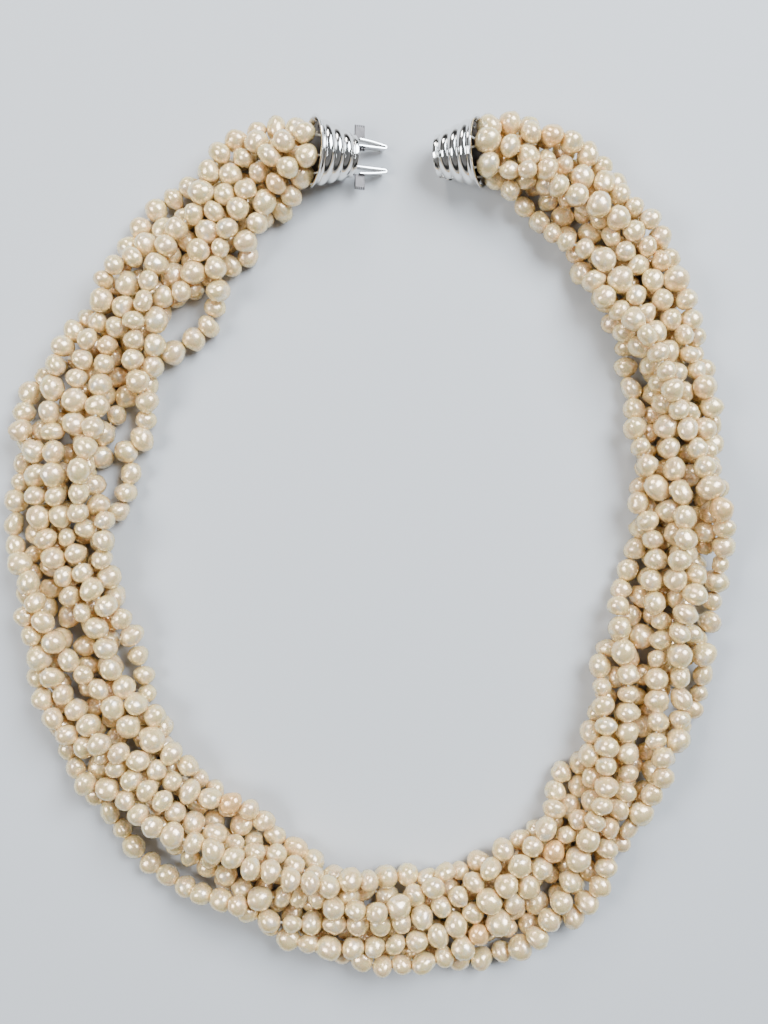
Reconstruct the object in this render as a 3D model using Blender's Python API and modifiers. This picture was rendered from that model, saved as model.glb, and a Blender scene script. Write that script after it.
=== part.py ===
"""Pearl necklace of eight strands, gathered into a two-part silver box clasp and lying on a table.

Metres, +Z up. The origin is on the table under the middle of the necklace, +Y points to the clasp
and +X from the clasp's tongue half to its box half. Each strand is a plain tube of a pearl's size,
in three lengths: left arm, front and right arm. Every strand goes from the tongue half,
counter-clockwise round the neck opening, to the box half, and the eight turn round each other
as a loose rope.
"""

import math

import bmesh
import bpy
from mathutils import Euler, Matrix, Vector

# ---------------------------------------------------------------- driving dimensions
MM = 0.001
STRAND_COUNT = 8
STRAND_DIAMETER = 5.0 * MM
STRAND_SLACK = 0.65 * MM  # least room between neighbouring strands
STRAND_SPACING = STRAND_DIAMETER + STRAND_SLACK
STRAND_POINT_SPACING = 8.0 * MM
ROPE_TURNS = 3.1
ROPE_FIRST_TURN = 0.06  # where strand 0 starts round the rope, as a share of a turn
GAP = 0.3 * MM

# The middle line of the rope as it lies, from the left clasp mouth to the right one:
# X, Y and the half width between the middles of the outermost strands, in millimetres.
ROPE_ROUTE = [
    (-13.4, 89.7, 7.4),
    (-18.4, 88.8, 7.4),
    (-24.6, 85.6, 7.8),
    (-31.4, 79.8, 8.5),
    (-38.6, 72.8, 9.6),
    (-45.6, 64.0, 11.0),
    (-52.4, 53.6, 10.4),
    (-60.0, 42.6, 9.8),
    (-65.8, 28.5, 12.4),
    (-69.2, 14.0, 12.2),
    (-70.8, 1.5, 11.2),
    (-69.3, -10.5, 9.5),
    (-66.3, -23.5, 10.2),
    (-61.6, -38.2, 10.7),
    (-54.6, -51.6, 10.3),
    (-44.4, -63.6, 10.0),
    (-31.0, -73.0, 9.3),
    (-16.6, -80.6, 8.4),
    (-1.8, -85.8, 9.0),
    (14.5, -86.8, 8.9),
    (30.0, -82.9, 9.8),
    (43.2, -74.2, 9.0),
    (53.2, -61.6, 8.9),
    (60.6, -46.4, 11.0),
    (66.0, -28.6, 11.1),
    (70.0, -9.8, 10.2),
    (71.8, 8.0, 9.6),
    (70.4, 24.8, 9.3),
    (68.2, 42.0, 8.9),
    (63.6, 57.4, 9.0),
    (56.2, 70.4, 9.1),
    (46.2, 80.4, 9.4),
    (37.0, 86.8, 8.0),
    (29.8, 89.4, 7.4),
    (26.0, 89.7, 7.4),
]
LEFT_BEND, RIGHT_BEND = 14, 23  # the places in ROPE_ROUTE where each arm bends from the front
BEND_GAP = 0.8 * MM  # from a bend to the end of each strand length beside it
OPENING_LEEWAY = 1.0 * MM  # from the outermost strand to the line that an arm turns about

# Clasp halves: ribbed caps whose axis runs from the rope's mouth to the flat face.
MOUTH_RADIUS = 8.2 * MM
FACE_RADIUS = 4.9 * MM
CAP_LENGTH = 10.0 * MM
LIP_LENGTH = 1.4 * MM
RING_LENGTH = 1.0 * MM
RIB_COUNT = 3
RIB_HEIGHT = 0.5 * MM
CAP_WALL = 0.8 * MM  # from the cone that the lip and the face ring touch, in to the bore
GROOVE_DEPTH = 0.5 * MM  # from that cone down to the grooves between the ribs
PLATE_THICKNESS = 0.8 * MM
CLASP_Y = 89.7 * MM
LEFT_MOUTH_X = -13.0 * MM
RIGHT_MOUTH_X = 25.6 * MM
CLOSED_X = 6.3 * MM  # where the two faces meet when the clasp is shut
CLOSED_HEIGHT = 8.9 * MM  # the shut clasp's axis above the table

ANCHOR_DEPTH = 1.1 * MM  # from the mouth's rim to the thread plate
ANCHOR_HOLE_RADIUS = 0.5 * MM
THREAD_RADIUS = 0.22 * MM
KNOT_RADIUS = 0.6 * MM
KNOT_CLEARANCE = 0.36 * MM  # from a knot to the bore outside it
END_INSET = 0.8 * MM  # from the holes' circle in to the strands that reach the mouth
END_OVERREACH = 0.06 * MM  # how far the lowest of them passes the mouth's tilted rim
SHORT_END = 7.6 * MM  # how far the ones between them stop short of the mouth

# Tongue: a pair of folded leaf springs that catch behind the box half's face plate.
LEAF_THICKNESS = 0.35 * MM
LEAF_WIDTH = 2.2 * MM
LEAF_LENGTH = 8.2 * MM
LEAF_OFFSET = 2.3 * MM  # from the axis to the fixed leaf
LEAF_SPREAD = 1.15 * MM  # from the fixed leaf to the free end of the spring leaf
LEAF_TAIL = 1.4 * MM  # from the face to the free end
PRESS_ANGLE = math.radians(8.0)
TAB_LENGTH = 3.0 * MM
TAB_WIDTH = 2.4 * MM
TAB_SETBACK = 0.9 * MM  # how far a tab reaches past the free end, towards the face
TAB_THICKNESS = 0.6 * MM
PIP_SIZE = 0.6 * MM

SILVER = (0.78, 0.77, 0.75)
SATIN_SILVER = (0.62, 0.61, 0.60)
PEARL = (0.86, 0.82, 0.75)
SILK = (0.88, 0.86, 0.80)

# ---------------------------------------------------------------- scene and materials


def clear_scene():
    for old in list(bpy.data.objects):
        bpy.data.objects.remove(old, do_unlink=True)


def new_collection(name):
    collection = bpy.data.collections.new(name)
    bpy.context.scene.collection.children.link(collection)
    return collection


clear_scene()
NECKLACE = new_collection("pearl_necklace")
CUTTERS = new_collection("cutters")


def give_material(obj, color, metallic, roughness):
    material = bpy.data.materials.new(obj.name)
    material.use_nodes = True
    shader = material.node_tree.nodes["Principled BSDF"]
    shader.inputs["Base Color"].default_value = (*color, 1.0)
    shader.inputs["Metallic"].default_value = metallic
    shader.inputs["Roughness"].default_value = roughness
    obj.data.materials.append(material)


def give_polished_silver(obj):
    give_material(obj, SILVER, 1.0, 0.12)


def give_satin_silver(obj):
    give_material(obj, SATIN_SILVER, 1.0, 0.45)


def new_empty(name, parent=None, location=(0, 0, 0), rotation=(0, 0, 0)):
    empty = bpy.data.objects.new(name, None)
    empty.empty_display_size = 0.01
    empty.parent = parent
    empty.location = location
    empty.rotation_euler = rotation
    NECKLACE.objects.link(empty)
    return empty


def new_object(name, data, parent=None, location=(0, 0, 0), rotation=(0, 0, 0)):
    obj = bpy.data.objects.new(name, data)
    obj.parent = parent
    obj.location = location
    obj.rotation_euler = rotation
    NECKLACE.objects.link(obj)
    return obj


# ---------------------------------------------------------------- primitive shapes


def box_mesh(name, size):
    shape = bmesh.new()
    bmesh.ops.create_cube(shape, size=1.0)
    bmesh.ops.scale(shape, vec=Vector(size), verts=shape.verts)
    mesh = bpy.data.meshes.new(name)
    shape.to_mesh(mesh)
    shape.free()
    return mesh


def disc_mesh(name, radius, thickness, sides):
    """A flat disc square to local X."""
    shape = bmesh.new()
    bmesh.ops.create_cone(
        shape, cap_ends=True, segments=sides, radius1=radius, radius2=radius, depth=thickness
    )
    bmesh.ops.rotate(shape, matrix=Matrix.Rotation(math.pi / 2, 3, "Y"), verts=shape.verts)
    mesh = bpy.data.meshes.new(name)
    shape.to_mesh(mesh)
    shape.free()
    return mesh


def tube_object(name, points, radius, parent=None, swell=None, resolution=2):
    """A round tube through points, with a radius share at each point where swell gives one."""
    curve = bpy.data.curves.new(name, "CURVE")
    curve.dimensions = "3D"
    curve.bevel_depth = radius
    curve.bevel_resolution = resolution
    curve.use_fill_caps = True
    spline = curve.splines.new("POLY")
    spline.points.add(len(points) - 1)
    for place, (point, position) in enumerate(zip(spline.points, points)):
        point.co = (*position, 1.0)
        point.radius = swell[place] if swell else 1.0
    return new_object(name, curve, parent)


def cut(obj, name, mesh, location):
    """Cuts mesh, placed in obj's own parent's space, out of obj."""
    cutter = bpy.data.objects.new(name, mesh)
    cutter.parent = obj.parent
    cutter.location = location
    cutter.hide_render = True
    cutter.display_type = "WIRE"
    CUTTERS.objects.link(cutter)
    boolean = obj.modifiers.new(name, "BOOLEAN")
    boolean.operation = "DIFFERENCE"
    boolean.solver = "EXACT"
    boolean.object = cutter


# ---------------------------------------------------------------- the rope's path


def smooth_point(points, place, share):
    """The point at share between points[place] and the next, on a Catmull-Rom curve."""
    last = len(points) - 1
    before = points[max(place - 1, 0)]
    here = points[place]
    after = points[min(place + 1, last)]
    beyond = points[min(place + 2, last)]
    return tuple(
        0.5
        * (
            2 * b
            + (c - a) * share
            + (2 * a - 5 * b + 4 * c - d) * share**2
            + (3 * b - a - 3 * c + d) * share**3
        )
        for a, b, c, d in zip(before, here, after, beyond)
    )


class Rope:
    """The rope's middle line by its length, with its width, and each strand's path round it."""

    STEPS = 24

    def __init__(self):
        route = [Vector(p) * MM for p in ROPE_ROUTE]
        self.samples = []
        for place in range(len(route) - 1):
            for step in range(self.STEPS):
                self.samples.append(Vector(smooth_point(route, place, step / self.STEPS)))
        self.samples.append(route[-1].copy())
        self.lengths = [0.0]
        for here, after in zip(self.samples, self.samples[1:]):
            self.lengths.append(self.lengths[-1] + (after.xy - here.xy).length)
        self.length = self.lengths[-1]
        self.lower_mouth = mouth_height()

    def length_at(self, place):
        """The length along the rope at a place in ROPE_ROUTE."""
        return self.lengths[place * self.STEPS]

    def sample(self, along):
        """The route's X, Y and half width at a length along it."""
        along = min(max(along, 0.0), self.length)
        index = 0
        while index < len(self.lengths) - 2 and self.lengths[index + 1] < along:
            index += 1
        start, end = self.lengths[index], self.lengths[index + 1]
        return self.samples[index].lerp(self.samples[index + 1], (along - start) / (end - start))

    def outward(self, along):
        """The flat direction that points away from the neck opening."""
        step = 1.5 * MM
        ahead = self.sample(along + step).xy - self.sample(along - step).xy
        ahead.normalize()
        return Vector((ahead.y, -ahead.x, 0.0))

    def to_end(self, along):
        return min(along, self.length - along)

    def middle_height(self, along, end_radius):
        """Strands lie on the table, and lift or drop to a clasp half's mouth near an end."""
        resting = end_radius + STRAND_DIAMETER / 2
        share = min(self.to_end(along) / SHORT_END, 1.0)
        return self.lower_mouth + (resting - self.lower_mouth) * share

    def strand_point(self, strand, along):
        """The middle of one strand where the rope has run this far."""
        place = self.sample(along)
        half_width = place.z
        end_radius = track_end_radius(half_width)
        turn = strand / STRAND_COUNT + ROPE_FIRST_TURN + ROPE_TURNS * along / self.length
        across, up = track_point(half_width, end_radius, turn % 1.0)
        if reaches_mouth(strand) and self.to_end(along) < SHORT_END:
            share = (SHORT_END - self.to_end(along)) / (SHORT_END - long_end())
            narrowed = 1.0 + (end_ring() / half_width - 1.0) * min(share, 1.0)
            across *= narrowed
            up *= narrowed
        middle = Vector((place.x, place.y, self.middle_height(along, end_radius)))
        return middle + self.outward(along) * across + Vector((0, 0, up))


def reaches_mouth(strand):
    return strand % 2 == 0


def track_end_radius(half_width):
    """The end radius of the flattened ring, this wide, that holds all strands side by side."""
    low, high = STRAND_SPACING / 2, half_width
    for _ in range(40):
        radius = (low + high) / 2
        pitch = 2 * radius * math.asin(min(STRAND_SPACING / (2 * radius), 1.0))
        ring = 4 * (half_width - radius) + 2 * math.pi * radius
        if ring > STRAND_COUNT * pitch:
            high = radius
        else:
            low = radius
    return radius


def track_point(half_width, end_radius, turn):
    """Where a share of the way round the flattened ring is: outwards and up from its middle.

    The way starts at the outermost point and goes over the top.
    """
    straight = 2 * (half_width - end_radius)
    quarter = math.pi * end_radius / 2
    way = turn * (2 * straight + 4 * quarter)
    reach = straight / 2
    if way < quarter:
        angle = way / end_radius
        return reach + end_radius * math.cos(angle), end_radius * math.sin(angle)
    way -= quarter
    if way < straight:
        return reach - way, end_radius
    way -= straight
    if way < 2 * quarter:
        angle = math.pi / 2 + way / end_radius
        return -reach + end_radius * math.cos(angle), end_radius * math.sin(angle)
    way -= 2 * quarter
    if way < straight:
        return way - reach, -end_radius
    way -= straight
    angle = 1.5 * math.pi + way / end_radius
    return reach + end_radius * math.cos(angle), end_radius * math.sin(angle)


# ---------------------------------------------------------------- clasp placing


def cap_tilt():
    """A cap rests on its lip and its face ring, so its axis droops towards the face."""
    between = CAP_LENGTH - LIP_LENGTH / 2 - RING_LENGTH / 2
    return math.atan2(MOUTH_RADIUS - FACE_RADIUS, between)


def mouth_height():
    tilt = cap_tilt()
    return MOUTH_RADIUS * math.cos(tilt) + LIP_LENGTH / 2 * math.sin(tilt)


def end_ring():
    """The circle of the strands that reach the mouth."""
    return anchor_circle() - END_INSET


def long_end():
    """How far the strands that reach the mouth stop short of its middle."""
    return (end_ring() + STRAND_DIAMETER / 2) * math.tan(cap_tilt()) - END_OVERREACH


def swing_pivot(side):
    """The X and Z of the line that a clasp half turns about, from lying open to meeting the other.

    side is 1 for the left half, whose face looks along +X, and -1 for the right half.
    """
    tilt = cap_tilt()
    mouth_x = LEFT_MOUTH_X if side > 0 else RIGHT_MOUTH_X
    lying = Vector((mouth_x + side * CAP_LENGTH * math.cos(tilt),
                    mouth_height() - CAP_LENGTH * math.sin(tilt)))
    shut = Vector((CLOSED_X - side * GAP / 2, CLOSED_HEIGHT))
    way = shut - lying
    square = Vector((-way.y, way.x)) * side
    return (lying + shut) / 2 + square / (2 * math.tan(tilt / 2))


# ---------------------------------------------------------------- sub-parts


def make_strands(rope, roots):
    """Eight strands, each as a left arm, a front and a right arm length."""
    left_bend, right_bend = rope.length_at(LEFT_BEND), rope.length_at(RIGHT_BEND)
    last = rope.length - SHORT_END
    sections = {
        "left": even_places(SHORT_END, left_bend - BEND_GAP),
        "front": even_places(left_bend + BEND_GAP, right_bend - BEND_GAP),
        "right": even_places(right_bend + BEND_GAP, last),
    }
    to_mouth = [long_end(), (long_end() + SHORT_END) / 2]
    for strand in range(STRAND_COUNT):
        for side, places in sections.items():
            if reaches_mouth(strand) and side == "left":
                places = to_mouth + places
            if reaches_mouth(strand) and side == "right":
                places = places + [rope.length - place for place in reversed(to_mouth)]
            points = [rope.strand_point(strand, along) for along in places]
            root = roots[side]
            if root:
                points = [point - root.location for point in points]
            tube = tube_object(f"strand_{strand + 1}_{side}", points, STRAND_DIAMETER / 2, root)
            give_material(tube, PEARL, 0.0, 0.25)


def even_places(start, stop):
    """Lengths along the rope from start to stop, where every strand has a point."""
    count = round((stop - start) / STRAND_POINT_SPACING)
    return [start + (stop - start) * step / count for step in range(count + 1)]


def cap_profile():
    """The cap's outline as (axial, radius) from the mouth, outside first, then back inside."""
    rib_start = LIP_LENGTH + RIB_HEIGHT / 2
    rib_stop = CAP_LENGTH - RING_LENGTH - RIB_HEIGHT / 2
    lip_round = LIP_LENGTH / 4
    outside = [
        (0.0, MOUTH_RADIUS - lip_round),
        (lip_round, MOUTH_RADIUS),
        (LIP_LENGTH - lip_round, MOUTH_RADIUS),
        (LIP_LENGTH, MOUTH_RADIUS - lip_round),
    ]
    wave_steps = 6 * RIB_COUNT
    for step in range(wave_steps + 1):
        share = step / wave_steps
        axial = rib_start + (rib_stop - rib_start) * share
        bulge = RIB_HEIGHT * (1 - math.cos(2 * math.pi * RIB_COUNT * share)) / 2
        outside.append((axial, cone_radius(axial) - GROOVE_DEPTH + bulge))
    outside += [
        (CAP_LENGTH - RING_LENGTH, FACE_RADIUS - RING_LENGTH / 5),
        (CAP_LENGTH - RING_LENGTH * 0.8, FACE_RADIUS),
        (CAP_LENGTH - RING_LENGTH * 0.2, FACE_RADIUS),
        (CAP_LENGTH, FACE_RADIUS - RING_LENGTH / 5),
    ]
    inside = [
        (CAP_LENGTH, inner_radius(CAP_LENGTH)),
        (0.0, inner_radius(0.0)),
    ]
    return outside + inside


def cone_radius(axial):
    """The cone that the cap's lip and face ring touch."""
    return MOUTH_RADIUS + (FACE_RADIUS - MOUTH_RADIUS) * axial / CAP_LENGTH


def inner_radius(axial):
    """The cap's plain conical bore."""
    return cone_radius(axial) - CAP_WALL


def anchor_circle():
    """The circle of the threads' holes, as near the bore as their knots can be."""
    knot_reach = ANCHOR_DEPTH + PLATE_THICKNESS + GAP + 1.6 * KNOT_RADIUS
    return inner_radius(knot_reach) - KNOT_CLEARANCE - KNOT_RADIUS


def make_cap(name, frame):
    """A turned shell: a closed outline swept about the frame's X."""
    outline = cap_profile()
    mesh = bpy.data.meshes.new(name)
    vertices = [(radius, 0.0, CAP_LENGTH - axial) for axial, radius in outline]
    edges = [(k, (k + 1) % len(outline)) for k in range(len(outline))]
    mesh.from_pydata(vertices, edges, [])
    cap = new_object(name, mesh, frame, location=(CAP_LENGTH, 0, 0), rotation=(0, -math.pi / 2, 0))
    screw = cap.modifiers.new("turned", "SCREW")
    screw.steps = 28
    screw.render_steps = 28
    screw.use_merge_vertices = True
    screw.merge_threshold = 0.00001
    screw.use_smooth_shade = True
    give_polished_silver(cap)
    return cap


def make_face_plate(name, frame):
    radius = inner_radius(CAP_LENGTH) - GAP
    middle = CAP_LENGTH - PLATE_THICKNESS / 2
    plate = new_object(name, disc_mesh(name, radius, PLATE_THICKNESS, 28), frame, (middle, 0, 0))
    give_satin_silver(plate)
    return plate


def make_anchor_plate(name, frame, holes):
    """A disc across the cap's bore with a hole for each strand's thread."""
    radius = inner_radius(ANCHOR_DEPTH + PLATE_THICKNESS) - GAP
    middle = ANCHOR_DEPTH + PLATE_THICKNESS / 2
    plate = new_object(name, disc_mesh(name, radius, PLATE_THICKNESS, 24), frame, (middle, 0, 0))
    for number, (y, z) in enumerate(holes, 1):
        cutter = disc_mesh(f"{name}_hole_{number}", ANCHOR_HOLE_RADIUS, 2 * PLATE_THICKNESS, 8)
        cut(plate, cutter.name, cutter, (middle, y, z))
    give_satin_silver(plate)


def make_threads(side, frame, rope, world):
    """The silk end of each strand, from its last pearl through its hole to a knot behind it."""
    holes = []
    at_left = side == "left"
    turn_at_mouth = ROPE_FIRST_TURN + (0.0 if at_left else ROPE_TURNS)
    for strand in range(STRAND_COUNT):
        end = long_end() if reaches_mouth(strand) else SHORT_END
        along = end - GAP if at_left else rope.length - end + GAP
        start = world.inverted() @ rope.strand_point(strand, along)
        angle = 2 * math.pi * (strand / STRAND_COUNT + turn_at_mouth)
        y = anchor_circle() * math.cos(angle) * (1 if at_left else -1)
        z = anchor_circle() * math.sin(angle)
        holes.append((y, z))
        behind = ANCHOR_DEPTH + PLATE_THICKNESS + GAP
        route = [
            start,
            Vector((ANCHOR_DEPTH - GAP, y, z)),
            Vector((behind, y, z)),
            Vector((behind + 0.4 * KNOT_RADIUS, y, z)),
            Vector((behind + 1.6 * KNOT_RADIUS, y, z)),
            Vector((behind + 2.0 * KNOT_RADIUS, y, z)),
        ]
        knot = KNOT_RADIUS / THREAD_RADIUS
        name = f"{side}_thread_end_{strand + 1}"
        thread = tube_object(
            name, route, THREAD_RADIUS, frame, swell=[1, 1, 1, knot, knot, 1], resolution=1
        )
        give_material(thread, SILK, 0.0, 0.8)
    return holes


def fold_place():
    """The fold's distance along the frame's X and from its axis, which the spring leaf turns about."""
    along = CAP_LENGTH + LEAF_LENGTH - LEAF_THICKNESS / 2
    aside = LEAF_OFFSET + LEAF_THICKNESS + GAP / 2
    return along, aside


def spring_run():
    """From the fold back to the spring leaf's free end, along the frame's X."""
    return fold_place()[0] - (CAP_LENGTH + LEAF_TAIL)


def make_tongue(frame, leaf_roots):
    """Two V springs, either side of the axis: each a fixed leaf and a sprung one."""
    leaf_start = CAP_LENGTH + GAP
    fixed_length = LEAF_LENGTH - GAP
    for name, side in (("upper", 1), ("lower", -1)):
        fixed = new_object(
            f"{name}_fixed_leaf",
            box_mesh(f"{name}_fixed_leaf", (fixed_length, LEAF_THICKNESS, LEAF_WIDTH)),
            frame,
            (leaf_start + fixed_length / 2, side * (LEAF_OFFSET + LEAF_THICKNESS / 2), 0),
        )
        give_polished_silver(fixed)
        make_spring_leaf(name, side, leaf_roots[name])
    pip = new_object(
        "latch_guide_pip",
        box_mesh("latch_guide_pip", (2 * PIP_SIZE, PIP_SIZE, 2 * PIP_SIZE)),
        frame,
        (CAP_LENGTH + 4 * PIP_SIZE, LEAF_OFFSET - GAP - PIP_SIZE / 2, 0),
    )
    give_satin_silver(pip)


def make_spring_leaf(name, side, root):
    """The outer leaf runs from the fold back towards the face and carries the press tab."""
    aside = fold_place()[1]
    run = spring_run()
    near = LEAF_OFFSET + LEAF_THICKNESS + GAP + LEAF_THICKNESS / 2 - aside
    far = LEAF_OFFSET + LEAF_THICKNESS + LEAF_SPREAD + LEAF_THICKNESS / 2 - aside
    slant = math.atan2(far - near, run)
    leaf = new_object(
        f"{name}_spring_leaf",
        box_mesh(f"{name}_spring_leaf", (run / math.cos(slant), LEAF_THICKNESS, LEAF_WIDTH)),
        root,
        (-run / 2, side * (near + far) / 2, 0),
        (0, 0, -side * slant),
    )
    give_polished_silver(leaf)
    tab_middle = far + LEAF_THICKNESS / 2 + GAP + TAB_LENGTH / 2
    tab = new_object(
        f"{name}_press_tab",
        box_mesh(f"{name}_press_tab", (TAB_WIDTH, TAB_LENGTH, TAB_THICKNESS)),
        root,
        (-run - TAB_SETBACK + TAB_WIDTH / 2, side * tab_middle, 0),
    )
    give_satin_silver(tab)


def cut_latch_openings(cap, plate):
    """Slots for both tongues through the box half's plate, and notches for their tabs."""
    slot_inner = LEAF_OFFSET - PIP_SIZE - 2 * GAP
    free_end = LEAF_OFFSET + 2 * LEAF_THICKNESS + LEAF_SPREAD
    slot_outer = free_end - spring_run() * math.sin(PRESS_ANGLE) + GAP / 2
    slot_size = (4 * PLATE_THICKNESS, slot_outer - slot_inner, LEAF_WIDTH + 2 * GAP)
    notch_depth = LEAF_TAIL - TAB_SETBACK + TAB_WIDTH + GAP
    notch_reach = MOUTH_RADIUS - LEAF_OFFSET
    notch_size = (2 * notch_depth, notch_reach, TAB_THICKNESS + GAP)
    for name, side in (("upper", 1), ("lower", -1)):
        slot = (CAP_LENGTH, side * (slot_inner + slot_outer) / 2, 0)
        notch = (CAP_LENGTH, side * (LEAF_OFFSET + LEAF_THICKNESS + notch_reach / 2), 0)
        cut(plate, f"{name}_slot", box_mesh(f"{name}_slot", slot_size), slot)
        cut(plate, f"{name}_plate_notch", box_mesh(f"{name}_plate_notch", notch_size), notch)
        cut(cap, f"{name}_cap_notch", box_mesh(f"{name}_cap_notch", notch_size), notch)


def make_clasp(rope):
    """The tongue half on the left arm and the box half on the right arm, both lying tilted."""
    tilt = cap_tilt()
    left_at = Vector((LEFT_MOUTH_X, CLASP_Y, mouth_height()))
    right_at = Vector((RIGHT_MOUTH_X, CLASP_Y, mouth_height()))
    left_turn = Euler((0, tilt, 0))
    right_turn = (Matrix.Rotation(math.pi, 3, "Z") @ Matrix.Rotation(tilt, 3, "Y")).to_euler()
    frames = {}
    for side, name, at, turn in (
        (1, "left", left_at, left_turn),
        (-1, "right", right_at, right_turn),
    ):
        pivot = swing_pivot(side)
        swing = Vector((pivot.x, CLASP_Y, pivot.y))
        root = new_empty(f"{name}_clasp_swing_axis", location=swing)
        frame = new_empty(f"{name}_clasp_frame", root, at - swing, turn)
        frames[name] = frame, Matrix.Translation(at) @ turn.to_matrix().to_4x4()

    tongue, tongue_world = frames["left"]
    make_cap("tongue_half_cap", tongue)
    make_face_plate("tongue_half_face_plate", tongue)
    make_anchor_plate(
        "left_thread_plate", tongue, make_threads("left", tongue, rope, tongue_world)
    )
    along, aside = fold_place()
    leaf_roots = {
        "upper": new_empty("upper_leaf_fold", tongue, (along, aside, 0)),
        "lower": new_empty("lower_leaf_fold", tongue, (along, -aside, 0)),
    }
    make_tongue(tongue, leaf_roots)

    box, box_world = frames["right"]
    box_cap = make_cap("box_half_cap", box)
    box_plate = make_face_plate("box_half_face_plate", box)
    cut_latch_openings(box_cap, box_plate)
    make_anchor_plate("right_thread_plate", box, make_threads("right", box, rope, box_world))


def arm_pivot(rope, place):
    """Where an arm turns: on the table, outside the outermost strand at a bend."""
    along = rope.length_at(place)
    middle = rope.sample(along)
    aside = middle.z + STRAND_DIAMETER / 2 + OPENING_LEEWAY
    return Vector((middle.x, middle.y, 0.0)) + rope.outward(along) * aside


def main():
    rope = Rope()
    roots = {
        "left": new_empty("left_arm_spread_axis", location=arm_pivot(rope, LEFT_BEND)),
        "front": None,
        "right": new_empty("right_arm_spread_axis", location=arm_pivot(rope, RIGHT_BEND)),
    }
    make_strands(rope, roots)
    make_clasp(rope)


main()
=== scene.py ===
"""Looks of the pearl necklace: a loose rope of pearl strands gathered into a ribbed silver clasp."""

import logging
import math
from dataclasses import dataclass, field
from enum import Enum

import bmesh
import bpy
import numpy as np
from mathutils import Matrix, Vector


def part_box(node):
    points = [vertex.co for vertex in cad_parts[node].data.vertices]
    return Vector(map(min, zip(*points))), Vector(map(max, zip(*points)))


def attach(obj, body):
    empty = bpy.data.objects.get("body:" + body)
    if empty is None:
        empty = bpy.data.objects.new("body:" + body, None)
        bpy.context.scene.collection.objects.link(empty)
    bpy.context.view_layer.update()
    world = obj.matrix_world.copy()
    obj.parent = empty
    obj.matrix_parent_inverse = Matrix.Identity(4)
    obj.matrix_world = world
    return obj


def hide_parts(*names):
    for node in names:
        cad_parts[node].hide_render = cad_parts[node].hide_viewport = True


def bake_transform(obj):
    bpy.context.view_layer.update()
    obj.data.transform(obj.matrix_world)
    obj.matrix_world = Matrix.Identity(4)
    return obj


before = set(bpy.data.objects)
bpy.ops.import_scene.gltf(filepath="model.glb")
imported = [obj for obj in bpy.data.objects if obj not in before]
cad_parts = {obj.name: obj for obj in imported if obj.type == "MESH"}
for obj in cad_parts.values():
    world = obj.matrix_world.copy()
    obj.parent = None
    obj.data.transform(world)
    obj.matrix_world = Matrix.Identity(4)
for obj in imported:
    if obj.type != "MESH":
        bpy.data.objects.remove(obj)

LOG = logging.getLogger("pearl_necklace")
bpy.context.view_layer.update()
MM = 0.001
SEED = 41
CAP_STEPS, DISC_STEPS = 96, 72  # flats round a cap and round a plate
SHADED_COLUMNS = ("pearl_seed", "pearl_warmth")  # what the nacre reads from each pearl


class Side(Enum):
    """The two clasp halves, by the sign of X that each one's face looks along."""

    LEFT = 1
    RIGHT = -1

    @property
    def word(self) -> str:
        """The side's name as the nodes spell it."""
        return self.name.lower()


class Stretch(Enum):
    """The four lengths that each strand is shown in, from the left mouth to the right one."""

    LEFT_END = "left_end"
    LEFT_BEND = "left_bend"
    RIGHT_BEND = "right_bend"
    RIGHT_END = "right_end"


# ---------------------------------------------------------------- node tree helpers


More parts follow.
